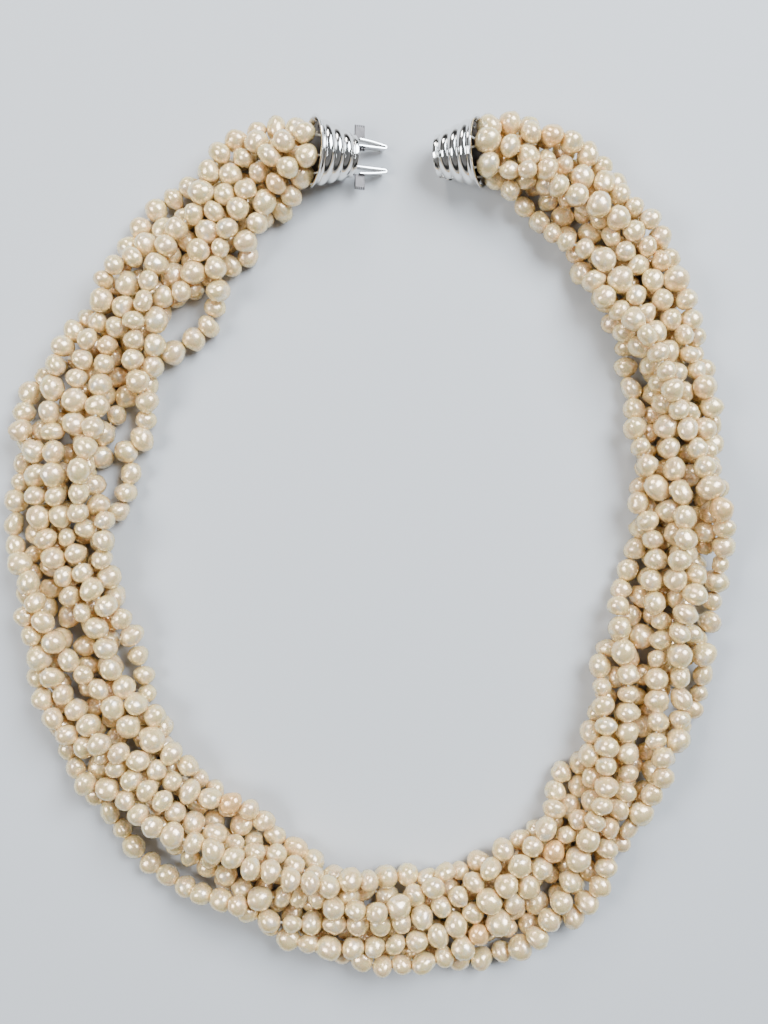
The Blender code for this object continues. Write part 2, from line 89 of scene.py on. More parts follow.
class TreeMaker:
    """Adds nodes to a shader or geometry tree and wires them."""

    def __init__(self, tree: bpy.types.NodeTree) -> None:
        """Keeps the tree and empties it.

        Args:
            tree: The tree to fill.
        """
        self.tree = tree
        tree.nodes.clear()

    def add(self, kind: str, inputs: dict | None = None, **settings: object) -> bpy.types.Node:
        """Adds one node.

        Args:
            kind: The node's type name.
            inputs: Values or sockets for its inputs, by name or by index.
            settings: The node's own properties.

        Returns:
            The new node.
        """
        node = self.tree.nodes.new(kind)
        for name, value in settings.items():
            setattr(node, name, value)
        for key, value in (inputs or {}).items():
            self.feed(node.inputs[key], value)
        return node

    def feed(self, socket: bpy.types.NodeSocket, value: object) -> None:
        """Links a socket to the input, or sets its value; a colour may leave out its alpha."""
        if isinstance(value, bpy.types.NodeSocket):
            self.tree.links.new(value, socket)
        elif socket.type == "RGBA" and len(value) == 3:
            socket.default_value = (*value, 1.0)
        else:
            socket.default_value = value

    def math(self, operation: str, *values: object) -> bpy.types.NodeSocket:
        """A number from one or two numbers."""
        node = self.add("ShaderNodeMath", dict(enumerate(values)), operation=operation)
        return node.outputs[0]

    def vector(self, operation: str, *values: object) -> bpy.types.NodeSocket:
        """A vector from vectors; SCALE takes its number as the last value."""
        node = self.add("ShaderNodeVectorMath", operation=operation)
        if operation == "SCALE":
            self.feed(node.inputs[0], values[0])
            self.feed(node.inputs["Scale"], values[1])
        else:
            for index, value in enumerate(values):
                self.feed(node.inputs[index], value)
        return node.outputs[0]

    def noise(self, place: object, scale: float, detail: float = 2.0) -> bpy.types.NodeSocket:
        """Smooth noise about 0.5 at a place."""
        inputs = {"Vector": place, "Scale": scale, "Detail": detail}
        return self.add("ShaderNodeTexNoise", inputs).outputs[0]

    def ease(self, value: object, low: float, high: float, to_low: float, to_high: float):
        """A smooth step of value from low..high to to_low..to_high."""
        node = self.add("ShaderNodeMapRange", interpolation_type="SMOOTHSTEP")
        for index, number in enumerate((value, low, high, to_low, to_high)):
            self.feed(node.inputs[index], number)
        return node.outputs[0]

    def mix(self, share: object, first: object, second: object) -> bpy.types.NodeSocket:
        """A colour between two colours."""
        node = self.add("ShaderNodeMix", data_type="RGBA")
        colours = [socket for socket in node.inputs if socket.type == "RGBA"]
        self.feed(node.inputs[0], share)
        self.feed(colours[0], first)
        self.feed(colours[1], second)
        return next(socket for socket in node.outputs if socket.type == "RGBA")

    def bump(self, height: object, strength: float, distance: float) -> bpy.types.NodeSocket:
        """A normal that follows a height."""
        inputs = {"Strength": strength, "Distance": distance, "Height": height}
        return self.add("ShaderNodeBump", inputs).outputs[0]

    def attribute(self, name: str, output: str = "Fac") -> bpy.types.NodeSocket:
        """A surface attribute, in a shader tree."""
        return self.add("ShaderNodeAttribute", attribute_name=name).outputs[output]

    def named(self, name: str, kind: str = "FLOAT") -> bpy.types.NodeSocket:
        """A named attribute, in a geometry tree."""
        node = self.add("GeometryNodeInputNamedAttribute", {"Name": name}, data_type=kind)
        return next(socket for socket in node.outputs if socket.enabled)


class PointTree(TreeMaker):
    """A geometry tree that makes something in one material on every point it's given."""

    def __init__(self, name: str, numbers: dict[str, float | int], makes: str) -> None:
        """Makes the tree and its sockets.

        Args:
            name: The node group's name.
            numbers: The numbers that it takes, with their usual values.
            makes: What its output is called.
        """
        tree = bpy.data.node_groups.new(name, "GeometryNodeTree")
        super().__init__(tree)
        sockets = tree.interface
        sockets.new_socket("Points", in_out="INPUT", socket_type="NodeSocketGeometry")
        for label, value in numbers.items():
            kind = "NodeSocketInt" if isinstance(value, int) else "NodeSocketFloat"
            socket = sockets.new_socket(label, in_out="INPUT", socket_type=kind)
            socket.default_value = value
        sockets.new_socket("Material", in_out="INPUT", socket_type="NodeSocketMaterial")
        sockets.new_socket(makes, in_out="OUTPUT", socket_type="NodeSocketGeometry")
        self.makes = makes
        self.given = self.add("NodeGroupInput").outputs

    def geometry(self, kind: str, geometry: object, **inputs: object) -> bpy.types.NodeSocket:
        """The geometry that a node makes of a geometry."""
        return self.add(kind, {"Geometry": geometry, **inputs}).outputs[0]

    def on_points(self, piece: bpy.types.NodeSocket, **inputs: object) -> bpy.types.NodeSocket:
        """One piece on every point, as real geometry."""
        inputs = {"Points": self.given["Points"], "Instance": piece, **inputs}
        copies = self.add("GeometryNodeInstanceOnPoints", inputs).outputs[0]
        return self.geometry("GeometryNodeRealizeInstances", copies)

    def moved_out(self, geometry: object, distance: object) -> bpy.types.NodeSocket:
        """A geometry with its points moved along their normals."""
        normal = self.add("GeometryNodeInputNormal").outputs[0]
        offset = self.vector("SCALE", normal, distance)
        return self.geometry("GeometryNodeSetPosition", geometry, Offset=offset)

    def finished(self, geometry: object) -> bpy.types.NodeTree:
        """Ends the tree with a geometry, smooth and in the given material."""
        smooth = self.geometry("GeometryNodeSetShadeSmooth", geometry)
        dressed = self.geometry("GeometryNodeSetMaterial", smooth, Material=self.given["Material"])
        self.add("NodeGroupOutput", {self.makes: dressed})
        return self.tree


# ---------------------------------------------------------------- finishes


@dataclass(frozen=True)
class Finish:
    """A material with a Principled shader, whose inputs each kind of finish works out."""

    name: str
    colour: tuple[float, float, float]
    roughness: float

    def make(self) -> bpy.types.Material:
        """Builds the material.

        Returns:
            The new material.
        """
        material = bpy.data.materials.new(self.name)
        material.use_nodes = True
        maker = TreeMaker(material.node_tree)
        shader = maker.add("ShaderNodeBsdfPrincipled", self.surface(maker))
        maker.add("ShaderNodeOutputMaterial", {"Surface": shader.outputs[0]})
        return material

    def surface(self, maker: TreeMaker) -> dict[str, object]:
        """What goes into the shader, by the names of its inputs."""
        raise NotImplementedError

    def darker(self, share: float) -> tuple[float, ...]:
        """A share of the finish's own colour."""
        return tuple(share * value for value in self.colour)

    @staticmethod
    def own_place(maker: TreeMaker) -> bpy.types.NodeSocket:
        """A point's place in its object."""
        return maker.add("ShaderNodeTexCoord").outputs["Object"]


@dataclass(frozen=True)
class Nacre(Finish):
    """Cream freshwater nacre: a soft deep lustre with faint overtones and growth marks."""

    blush: tuple[float, float, float] = (0.86, 0.52, 0.40)
    cool: tuple[float, float, float] = (0.70, 0.79, 0.84)
    honey: tuple[float, float, float] = (0.82, 0.46, 0.16)
    blush_share: float = 0.34
    cool_share: float = 0.4
    honey_share: float = 0.8
    pit_share: float = 0.15

    def surface(self, maker: TreeMaker) -> dict[str, object]:
        """Tints by pearl and by place on the pearl, with fine bumps."""
        place = maker.attribute("nacre_place", "Vector")
        seed = maker.attribute("pearl_seed")
        warmth = maker.attribute("pearl_warmth")
        seeds = {0: seed, 1: maker.math("MULTIPLY", seed, 1.7), 2: 3.0}
        apart = maker.add("ShaderNodeCombineXYZ", seeds)
        spot = maker.vector("ADD", place, apart.outputs[0])
        cloud = maker.noise(spot, 0.9)
        pale = maker.noise(maker.vector("ADD", spot, (7.0, 2.0, 5.0)), 1.3)
        pits = maker.noise(spot, 6.0)
        colour = self.colour
        for value, low, high, share, tint in (
            (cloud, 0.38, 0.72, self.blush_share, self.blush),
            (pale, 0.5, 0.78, self.cool_share, self.cool),
            (warmth, 0.0, 1.0, self.honey_share, self.honey),
            (pits, 0.62, 0.8, self.pit_share, self.honey),
        ):
            colour = maker.mix(maker.ease(value, low, high, 0.0, share), colour, tint)
        smooth, rough = self.roughness - 0.07, self.roughness + 0.1
        height = maker.math("ADD", maker.math("MULTIPLY", pits, 0.2), maker.noise(spot, 2.2, 1.0))
        return {
            "Base Color": colour,
            "Roughness": maker.ease(maker.noise(spot, 3.0, 3.0), 0.3, 0.75, smooth, rough),
            "Normal": maker.bump(height, 0.4, 0.25 * MM),
            "Metallic": 0.38,
            "Specular IOR Level": 0.6,
            "Coat Weight": 1.0,
            "Coat Roughness": 0.12,
            "Coat IOR": 1.55,
            "Thin Film Thickness": 450.0,
            "Thin Film IOR": 1.75,
            "Subsurface Weight": 0.25,
            "Subsurface Radius": (1.0, 0.75, 0.6),
            "Subsurface Scale": 0.8 * MM,
        }


@dataclass(frozen=True)
class PolishedSilver(Finish):
    """Bright silver with hairline wear and a little dulling in patches."""

    def surface(self, maker: TreeMaker) -> dict[str, object]:
        """Adds hairlines, faint tarnish and a polish that varies."""
        place = self.own_place(maker)
        hair = maker.noise(maker.vector("MULTIPLY", place, (900.0, 9000.0, 9000.0)), 1.0, 3.0)
        cloud = maker.noise(place, 420.0, 3.0)
        dull = maker.ease(cloud, 0.5, 0.8, 0.0, 0.5)
        return {
            "Base Color": maker.mix(dull, self.colour, self.darker(0.82)),
            "Roughness": maker.ease(cloud, 0.35, 0.75, self.roughness, self.roughness + 0.12),
            "Normal": maker.bump(hair, 0.12, 0.02 * MM),
            "Metallic": 1.0,
        }


@dataclass(frozen=True)
class SatinSilver(Finish):
    """Silver left matt by brushing, as on the tabs and plates; its near-black base colour is painted
    reflection of a dark surround, not the silver's own colour.
    """

    def surface(self, maker: TreeMaker) -> dict[str, object]:
        """Adds a brushed grain and blotches."""
        place = self.own_place(maker)
        grain = maker.noise(maker.vector("MULTIPLY", place, (2500.0, 16000.0, 16000.0)), 1.0, 3.0)
        dull = maker.ease(maker.noise(place, 700.0, 3.0), 0.4, 0.8, 0.0, 0.6)
        smooth, rough = self.roughness - 0.1, self.roughness + 0.1
        return {
            "Base Color": maker.mix(dull, self.colour, self.darker(0.7)),
            "Roughness": maker.ease(grain, 0.3, 0.7, smooth, rough),
            "Normal": maker.bump(grain, 0.3, 0.03 * MM),
            "Metallic": 1.0,
        }


@dataclass(frozen=True)
class SilkThread(Finish):
    """Cream twisted silk, with its plies as bands, darker in the grooves between them as painted
    shade.
    """

    def surface(self, maker: TreeMaker) -> dict[str, object]:
        """Adds the plies, painted shade in their grooves, and a fuzz."""
        place = self.own_place(maker)
        bands = {"Vector": place, "Scale": 1500.0, "Distortion": 1.5}
        ply_height_and_shade = maker.add("ShaderNodeTexWave", bands).outputs["Fac"]
        fuzz = maker.noise(place, 6000.0, 3.0)
        return {
            # Darker where the ply bump is low: painted shade in the grooves between the plies.
            "Base Color": maker.mix(ply_height_and_shade, self.darker(0.72), self.colour),
            "Roughness": maker.ease(fuzz, 0.3, 0.7, 0.6, self.roughness),
            "Normal": maker.bump(ply_height_and_shade, 0.5, 0.06 * MM),
        }


NACRE = Nacre("cream_nacre", (0.82, 0.635, 0.30), 0.26)
POLISHED = PolishedSilver("polished_silver", (0.86, 0.85, 0.83), 0.07)
# The satin silver's near-black colour is painted reflection: it stands in for a dark surround mirrored
# in the metal.
SATIN = SatinSilver("satin_silver", (0.12, 0.108, 0.105), 0.5)
SILK = SilkThread("silk_thread", (0.86, 0.82, 0.72), 0.85)


# ---------------------------------------------------------------- mesh helpers


def linked(name: str, data: bpy.types.ID | None) -> bpy.types.Object:
    """Makes an object of some data and puts it in the scene."""
    obj = bpy.data.objects.new(name, data)
    bpy.context.scene.collection.objects.link(obj)
    return obj


def grown(name: str, points: bpy.types.Mesh, tree: bpy.types.NodeTree, material: bpy.types.Material):
    """Runs a geometry tree on points and keeps what it makes as a plain piece.

    Args:
        name: The piece's name.
        points: The points that the tree works on.
        tree: A geometry node group with a Material input.
        material: What that input is set to.

    Returns:
        The new object, at the origin.
    """
    holder = linked(points.name, points)
    modifier = holder.modifiers.new("grown", "NODES")
    modifier.node_group = tree
    for item in tree.interface.items_tree:
        if item.in_out == "INPUT" and item.name == "Material":
            modifier[item.identifier] = material
    mesh = baked(holder)
    mesh.name = name
    return linked(name, mesh)


def new_piece(name: str, mesh: bpy.types.Mesh, material: bpy.types.Material) -> bpy.types.Object:
    """Puts a mesh in the scene as a smooth piece with one material.

    Args:
        name: The piece's name.
        mesh: Its mesh, already in place.
        material: Its finish.

    Returns:
        The new object, at the origin.
    """
    mesh.name = name
    mesh.materials.clear()
    mesh.materials.append(material)
    mesh.shade_smooth()
    mesh.set_sharp_from_angle(angle=math.radians(35))
    return linked(name, mesh)


def baked(obj: bpy.types.Object) -> bpy.types.Mesh:
    """Takes an object's evaluated mesh, in place, and removes the object.

    Args:
        obj: The object with live modifiers, or a curve.

    Returns:
        A plain mesh in world space.
    """
    bpy.context.view_layer.update()
    depsgraph = bpy.context.evaluated_depsgraph_get()
    mesh = bpy.data.meshes.new_from_object(obj.evaluated_get(depsgraph))
    mesh.transform(obj.matrix_world)
    bpy.data.objects.remove(obj, do_unlink=True)
    return mesh


class Shaping:
    """Opens a mesh as a bmesh and puts it back with its changes."""

    def __init__(self, mesh: bpy.types.Mesh) -> None:
        """Reads the mesh, which may be empty.

        Args:
            mesh: The mesh to change.
        """
        self.mesh = mesh
        self.shape = bmesh.new()
        self.shape.from_mesh(mesh)

    def __enter__(self) -> bmesh.types.BMesh:
        """Hands over the shape."""
        return self.shape

    def __exit__(self, *problem: object) -> None:
        """Writes the mesh."""
        self.shape.to_mesh(self.mesh)
        self.shape.free()


def bevelled_box(size: Vector, bevel: float, at: tuple = (0.0, 0.0, 0.0)) -> bpy.types.Mesh:
    """A box with rounded edges and its middle at a place."""
    mesh = bpy.data.meshes.new("box")
    with Shaping(mesh) as shape:
        bmesh.ops.create_cube(shape, size=1.0)
        bmesh.ops.scale(shape, vec=size, verts=shape.verts)
        rounding = {"offset": bevel, "segments": 3, "affect": "EDGES", "profile": 0.5}
        bmesh.ops.bevel(shape, geom=shape.edges[:], **rounding)
    mesh.transform(Matrix.Translation(at))
    return mesh


def turned(outline: list[tuple[float, float]], steps: int) -> bpy.types.Mesh:
    """Turns a closed outline about X.

    Args:
        outline: (axial, radius) corners, once round.
        steps: How many times the outline is set round the axis.

    Returns:
        A closed shell.
    """
    mesh = bpy.data.meshes.new("turned")
    with Shaping(mesh) as shape:
        rings = []
        for step in range(steps):
            angle = 2 * math.pi * step / steps
            rings.append([
                shape.verts.new((axial, radius * math.cos(angle), radius * math.sin(angle)))
                for axial, radius in outline
            ])
        for here, after in zip(rings, rings[1:] + rings[:1]):
            for k in range(len(outline)):
                m = (k + 1) % len(outline)
                shape.faces.new((here[k], here[m], after[m], after[k]))
        bmesh.ops.recalc_face_normals(shape, faces=shape.faces[:])
    return mesh


def cut_out(mesh: bpy.types.Mesh, cutters: list[bpy.types.Mesh]) -> bpy.types.Mesh:
    """Cuts cutters out of a mesh."""
    body = linked("body", mesh)
    helpers = [linked("cutter", cutter) for cutter in cutters]
    for helper in helpers:
        boolean = body.modifiers.new("cut", "BOOLEAN")
        boolean.operation = "DIFFERENCE"
        boolean.solver = "EXACT"
        boolean.object = helper
    result = baked(body)
    for helper in helpers:
        bpy.data.objects.remove(helper, do_unlink=True)
    return result


def tube_along(points: list[Vector], radius: float) -> bpy.types.Mesh:
    """A capped round tube through points."""
    curve = bpy.data.curves.new("tube", "CURVE")
    curve.dimensions = "3D"
    curve.bevel_depth = radius
    curve.bevel_resolution = 2
    curve.use_fill_caps = True
    spline = curve.splines.new("POLY")
    spline.points.add(len(points) - 1)
    for point, position in zip(spline.points, points):
        point.co = (*position, 1.0)
        point.radius = 1.0
    mesh = baked(linked("tube", curve))
    with Shaping(mesh) as shape:
        bmesh.ops.remove_doubles(shape, verts=shape.verts[:], dist=1e-7)
    return mesh


# ---------------------------------------------------------------- the view


@dataclass
class Camera:
    """Looks straight down on the necklace from the height of a hand-held camera."""

    over: tuple[float, float] = (0.0036, 0.0074)
    height: float = 0.250
    span: float = 0.2355  # what the long side of the picture takes in, on the rope
    rope_height: float = 0.006

    def place(self) -> None:
        """Adds the camera to the scene."""
        data = bpy.data.cameras.new("overhead_camera")
        data.sensor_fit = "VERTICAL"
        data.sensor_height = 24.0
        data.lens = data.sensor_height * (self.height - self.rope_height) / self.span
        data.clip_start = 0.01
        data.clip_end = 20.0
        camera = linked("overhead_camera", data)
        camera.location = (*self.over, self.height)
        bpy.context.scene.camera = camera


@dataclass(frozen=True)
class SoftLight:
    """A square area light that looks at the necklace."""

    name: str
    at: tuple[float, float, float]
    size: float
    power: float
    colour: tuple[float, float, float]


LIGHTS = (
    SoftLight("key", (0.44, 0.38, 0.62), 0.52, 20.0, (0.80, 0.90, 1.0)),
    SoftLight("fill", (-0.55, -0.02, 0.60), 0.34, 7.0, (0.90, 0.96, 1.0)),
    SoftLight("rim", (-0.20, 0.62, 0.40), 0.22, 3.0, (1.0, 0.98, 0.95)),
)
# The surround's greys from straight down, 0, over the horizon, 0.5, to straight up, 1.
SURROUND_BANDS = (
    (0.5, 2.0), (0.53, 1.7), (0.57, 0.9), (0.61, 0.10), (0.72, 0.10), (0.78, 0.8), (0.9, 0.6),
)


@dataclass
class Studio:
    """A pale table under three soft lights, in a pale surround."""

    table_size: float = 1.8
    table_colour: tuple[float, float, float] = (0.50, 0.50, 0.51)
    surround_below: float = 2.0
    surround_overhead: tuple[float, float, float] = (0.5, 0.52, 0.55)
    surround_strength: float = 0.3

    def build(self) -> None:
        """Adds the table, the lights and the surround."""
        self.table()
        for light in LIGHTS:
            self.hang(light)
        self.surround()

    def table(self) -> None:
        """A pale matt table that isn't part of the object."""
        mesh = bpy.data.meshes.new("table")
        with Shaping(mesh) as shape:
            bmesh.ops.create_grid(shape, x_segments=1, y_segments=1, size=self.table_size / 2)
        material = bpy.data.materials.new("pale_table")
        material.use_nodes = True
        shader = material.node_tree.nodes["Principled BSDF"]
        shader.inputs["Base Color"].default_value = (*self.table_colour, 1.0)
        shader.inputs["Roughness"].default_value = 0.7
        mesh.materials.append(material)
        linked("table", mesh)

    @staticmethod
    def hang(light: SoftLight) -> None:
        """Puts one light in its place, turned to the necklace."""
        data = bpy.data.lights.new(light.name, "AREA")
        data.size = light.size
        data.energy = light.power
        data.color = light.colour
        lamp = linked(light.name, data)
        lamp.location = light.at
        lamp.rotation_euler = (-Vector(light.at)).to_track_quat("-Z", "Y").to_euler()

    def surround(self) -> None:
        """A pale surround with a dark band part way up, which the silver's curves show."""
        world = bpy.data.worlds.new("surround")
        bpy.context.scene.world = world
        world.use_nodes = True
        maker = TreeMaker(world.node_tree)
        way = maker.add("ShaderNodeTexCoord").outputs["Generated"]
        up = maker.add("ShaderNodeSeparateXYZ", {0: way}).outputs["Z"]
        ramp = maker.add("ShaderNodeValToRGB", {0: maker.math("MULTIPLY_ADD", up, 0.5, 0.5)})
        stops = ramp.color_ramp.elements
        stops[0].color = (*(self.surround_below,) * 3, 1.0)
        stops[1].color = (*self.surround_overhead, 1.0)
        for place, grey in SURROUND_BANDS:
            stops.new(place).color = (grey, grey, grey, 1.0)
        background = maker.add(
            "ShaderNodeBackground",
            {"Color": ramp.outputs["Color"], "Strength": self.surround_strength},
        )
        maker.add("ShaderNodeOutputWorld", {"Surface": background.outputs[0]})


# ---------------------------------------------------------------- the rope's rule

# The middle line of the rope, from the left mouth to the right one: X, Y and the half width
# between the middles of the outermost strands, in metres.
ROPE_ROUTE = [
    (-0.0134, 0.0897, 0.0074),
    (-0.0184, 0.0888, 0.0074),
    (-0.0246, 0.0856, 0.0078),
    (-0.0314, 0.0798, 0.0085),
    (-0.0386, 0.0728, 0.0096),
    (-0.0456, 0.0640, 0.0110),
    (-0.0524, 0.0536, 0.0104),
    (-0.0600, 0.0426, 0.0098),
    (-0.0658, 0.0285, 0.0124),
    (-0.0692, 0.0140, 0.0122),
    (-0.0708, 0.0015, 0.0112),
    (-0.0693, -0.0105, 0.0095),
    (-0.0663, -0.0235, 0.0102),
    (-0.0616, -0.0382, 0.0107),
    (-0.0546, -0.0516, 0.0103),
    (-0.0444, -0.0636, 0.0100),
    (-0.0310, -0.0730, 0.0093),
    (-0.0166, -0.0806, 0.0084),
    (-0.0018, -0.0858, 0.0090),
    (0.0145, -0.0868, 0.0089),
    (0.0300, -0.0829, 0.0098),
    (0.0432, -0.0742, 0.0090),
    (0.0532, -0.0616, 0.0089),
    (0.0606, -0.0464, 0.0110),
    (0.0660, -0.0286, 0.0111),
    (0.0700, -0.0098, 0.0102),
    (0.0718, 0.0080, 0.0096),
    (0.0704, 0.0248, 0.0093),
    (0.0682, 0.0420, 0.0089),
    (0.0636, 0.0574, 0.0090),
    (0.0562, 0.0704, 0.0091),
    (0.0462, 0.0804, 0.0094),
    (0.0370, 0.0868, 0.0080),
    (0.0298, 0.0894, 0.0074),
    (0.0260, 0.0897, 0.0074),
]
LEFT_BEND, RIGHT_BEND = 14, 23  # the places in ROPE_ROUTE where each arm bends from the front


@dataclass(frozen=True)
class Slack:
    """A stretch of the route where one strand lies loose at an edge, clear of the others."""

    first: float
    last: float
    side: int  # 1 outwards, -1 towards the neck
    room: float = 3.0 * MM


SLACK_STRETCHES = (
    Slack(3.0, 5.7, 1, 2.4 * MM),
    Slack(4.6, 6.4, -1, 3.2 * MM),
    Slack(7.0, 9.9, -1, 4.2 * MM),
    Slack(8.1, 10.4, 1, 3.4 * MM),
    Slack(11.6, 13.2, -1, 2.0 * MM),
    Slack(13.7, 16.4, 1, 3.4 * MM),
    Slack(17.5, 19.0, -1, 1.6 * MM),
    Slack(21.5, 23.2, 1, 2.2 * MM),
    Slack(24.3, 26.1, 1, 3.2 * MM),
    Slack(26.3, 28.4, -1, 2.6 * MM),
    Slack(30.2, 32.2, -1, 3.0 * MM),
)


@dataclass
class Rope:
    """Where each strand runs: side by side round a flattened ring that turns along the rope."""

    strands: int = 8
    strand_spacing: float = 5.65 * MM
    thickness: float = 5.0 * MM
    turns: float = 3.1
    first_turn: float = 0.06
    first_pearl: float = 1.3 * MM
    seat_circle: float = 5.3 * MM
    gathered: float = 12.0 * MM
    mouth_height: float = 7.92 * MM
    mouth_tilt: float = 0.3588
    closeness: float = 0.95
    queue: float = 5.2 * MM  # how far back the second middle strand starts
    loose_out: float = 0.3 * MM  # how far past the edge a loose strand lies
    loose_ease: float = 0.6  # how fast it leaves the others: less is faster
    yielding: float = 0.85  # how much of its room the others give it
    steps: int = 24

    def __post_init__(self) -> None:
        """Reads the route as a smooth line with its lengths."""
        route = np.array(ROPE_ROUTE)
        samples = []
        for place in range(len(route) - 1):
            for step in range(self.steps):
                samples.append(self.between(route, place, step / self.steps))
        samples.append(route[-1])
        self.samples = np.array(samples)
        ways = np.linalg.norm(np.diff(self.samples[:, :2], axis=0), axis=1)
        self.lengths = np.concatenate([[0.0], np.cumsum(ways)])
        self.length = float(self.lengths[-1])
        self.slacks = []
        for slack in SLACK_STRETCHES:
            start, stop = self.length_at_place(slack.first), self.length_at_place(slack.last)
            self.slacks.append((slack, start, stop, self.edge_strand(slack)))

    @staticmethod
    def between(route: np.ndarray, place: int, share: float) -> np.ndarray:
        """A point on the Catmull-Rom curve from one route point to the next."""
        last = len(route) - 1
        a, b = route[max(place - 1, 0)], route[place]
        c, d = route[min(place + 1, last)], route[min(place + 2, last)]
        return 0.5 * (
            2 * b
            + (c - a) * share
            + (2 * a - 5 * b + 4 * c - d) * share**2
            + (3 * b - a - 3 * c + d) * share**3
        )

    def length_at_place(self, place: float) -> float:
        """The length along the rope at a place in the route, which may lie between points."""
        return float(np.interp(place * self.steps, np.arange(len(self.lengths)), self.lengths))

    def sample(self, along: float) -> np.ndarray:
        """X, Y and half width at a length along the rope."""
        return np.array([np.interp(along, self.lengths, self.samples[:, k]) for k in range(3)])

    def outward(self, along: float) -> np.ndarray:
        """The flat direction away from the neck opening."""
        step = 1.5 * MM
        along = min(max(along, 0.0), self.length)
        ahead = self.sample(along + step)[:2] - self.sample(along - step)[:2]
        ahead /= np.linalg.norm(ahead)
        return np.array([ahead[1], -ahead[0], 0.0])

    def to_end(self, along: float) -> float:
        """How far the nearer mouth is."""
        return min(along, self.length - along)

    def start_of(self, strand: int) -> float:
        """How far from its mouth a strand's first pearl is: the second middle one queues."""
        return self.first_pearl + (self.queue if strand == self.strands // 2 else 0.0)

    def seat(self, strand: int, turn: float) -> tuple[float, float]:
        """Outwards and up, where a strand's last pearl sits in a mouth: six round two."""
        half = self.strands // 2
        if strand % half == 0:
            return 0.0, 0.0
        middle = strand - strand % half + half // 2
        angle = 2 * math.pi * (turn + (middle - strand) / self.strands)
        angle += math.pi / 3 * (strand - middle)
        return self.seat_circle * math.cos(angle), self.seat_circle * math.sin(angle)

    def loosened(self, strand: int, along: float, across: float, half_width: float) -> float:
        """Sets one strand out at an edge and the others back from it, in each slack stretch."""
        for slack, start, stop, edge_strand in self.slacks:
            if not start < along < stop:
                continue
            share = math.sin(math.pi * (along - start) / (stop - start)) ** self.loose_ease
            if strand == edge_strand:
                across += share * (slack.side * (half_width + self.loose_out) - across)
            else:
                limit = half_width - slack.room - self.strand_spacing
                beyond = slack.side * across - limit
                if beyond > 0:
                    across -= slack.side * share * beyond * self.yielding
        return across

    def end_radius(self, half_width: float) -> float:
        """The end radius of the flattened ring that holds the strands side by side."""
        low, high = self.strand_spacing / 2, half_width
        for _ in range(40):
            radius = (low + high) / 2
            pitch = 2 * radius * math.asin(min(self.strand_spacing / (2 * radius), 1.0))
            ring = 4 * (half_width - radius) + 2 * math.pi * radius
            if ring > self.strands * pitch:
                high = radius
            else:
                low = radius
        return radius

    @staticmethod
    def ring_point(half_width: float, radius: float, turn: float) -> tuple[float, float]:
        """Outwards and up from the ring's middle at a share of the way round, over the top."""
        straight = 2 * (half_width - radius)
        quarter = math.pi * radius / 2
        reach = straight / 2
        way = turn * (2 * straight + 4 * quarter)
        if way < quarter:
            angle = way / radius
            return reach + radius * math.cos(angle), radius * math.sin(angle)
        way -= quarter
        if way < straight:
            return reach - way, radius
        way -= straight
        if way < 2 * quarter:
            angle = math.pi / 2 + way / radius
            return -reach + radius * math.cos(angle), radius * math.sin(angle)
        way -= 2 * quarter
        if way < straight:
            return way - reach, -radius
        way -= straight
        angle = 1.5 * math.pi + way / radius
        return reach + radius * math.cos(angle), radius * math.sin(angle)

    def turn_of(self, strand: int, along: float) -> float:
        """How far round the ring a strand is at a length along the rope."""
        return strand / self.strands + self.first_turn + self.turns * along / self.length

    def edge_strand(self, slack: Slack) -> int:
        """The strand that is nearest to a slack stretch's edge half way along it."""
        along = self.length_at_place((slack.first + slack.last) / 2)
        half_width = self.sample(along)[2]
        radius = self.end_radius(half_width)
        reach = [
            slack.side * self.ring_point(half_width, radius, self.turn_of(k, along) % 1.0)[0]
            for k in range(self.strands)
        ]
        return int(np.argmax(reach))

    def strand_point(self, strand: int, along: float) -> np.ndarray:
        """The middle of one strand where the rope has run this far."""
        x, y, half_width = self.sample(along)
        radius = self.end_radius(half_width)
        turn = self.turn_of(strand, along)
        across, up = self.ring_point(half_width, radius, turn % 1.0)
        across = self.loosened(strand, along, across * self.closeness, half_width)
        height = radius + self.thickness / 2 + up
        share = (self.to_end(along) - self.first_pearl) / (self.gathered - self.first_pearl)
        if share < 1.0:
            share = max(share, 0.0)
            share = share * share * (3 - 2 * share)
            seat_across, seat_up = self.seat(strand, turn)
            across = seat_across + (across - seat_across) * share
            seat_height = self.mouth_height + seat_up * math.cos(self.mouth_tilt)
            height = seat_height + (height - seat_height) * share
            to_mouth = 1.0 if along < self.length / 2 else -1.0
            x += to_mouth * seat_up * math.sin(self.mouth_tilt) * (1.0 - share)
        return np.array([x, y, height]) + self.outward(along) * across


# ---------------------------------------------------------------- pearls


@dataclass
class PearlSizes:
    """The spread of sizes and shapes in a lot of small off-round pearls."""

    radius: float = 2.68 * MM
    spread: float = 0.065
    flattest: float = 0.80
    longest: float = 1.04
    wrinkled_share: float = 0.10
    honey_share: float = 0.02
    honey_places: tuple = ((-0.0296, -0.0612), (0.0268, -0.0918), (0.0429, -0.0727))
    wrinkled_place: tuple = (0.0775, 0.006)
    wrinkled_reach: float = 15 * MM
    wrinkled_there: float = 0.5  # the share of wrinkled pearls within that reach
    wrinkle_depths: tuple = (0.8, 1.8)
    least_wrinkle: float = 0.1
    buttons: tuple = (0.80, 1.02)  # how high a pearl is for its width
    rings: tuple = (-0.6, 1.0)  # how deep its growth ring is, where none is below 0
    warmths: tuple = (1.4, 4.0)  # the shape of the beta spread of the honey tint
    warmest: float = 0.55
    honey_warmths: tuple = (0.3, 0.6)
    seeds: float = 60.0
    lean: float = 0.2


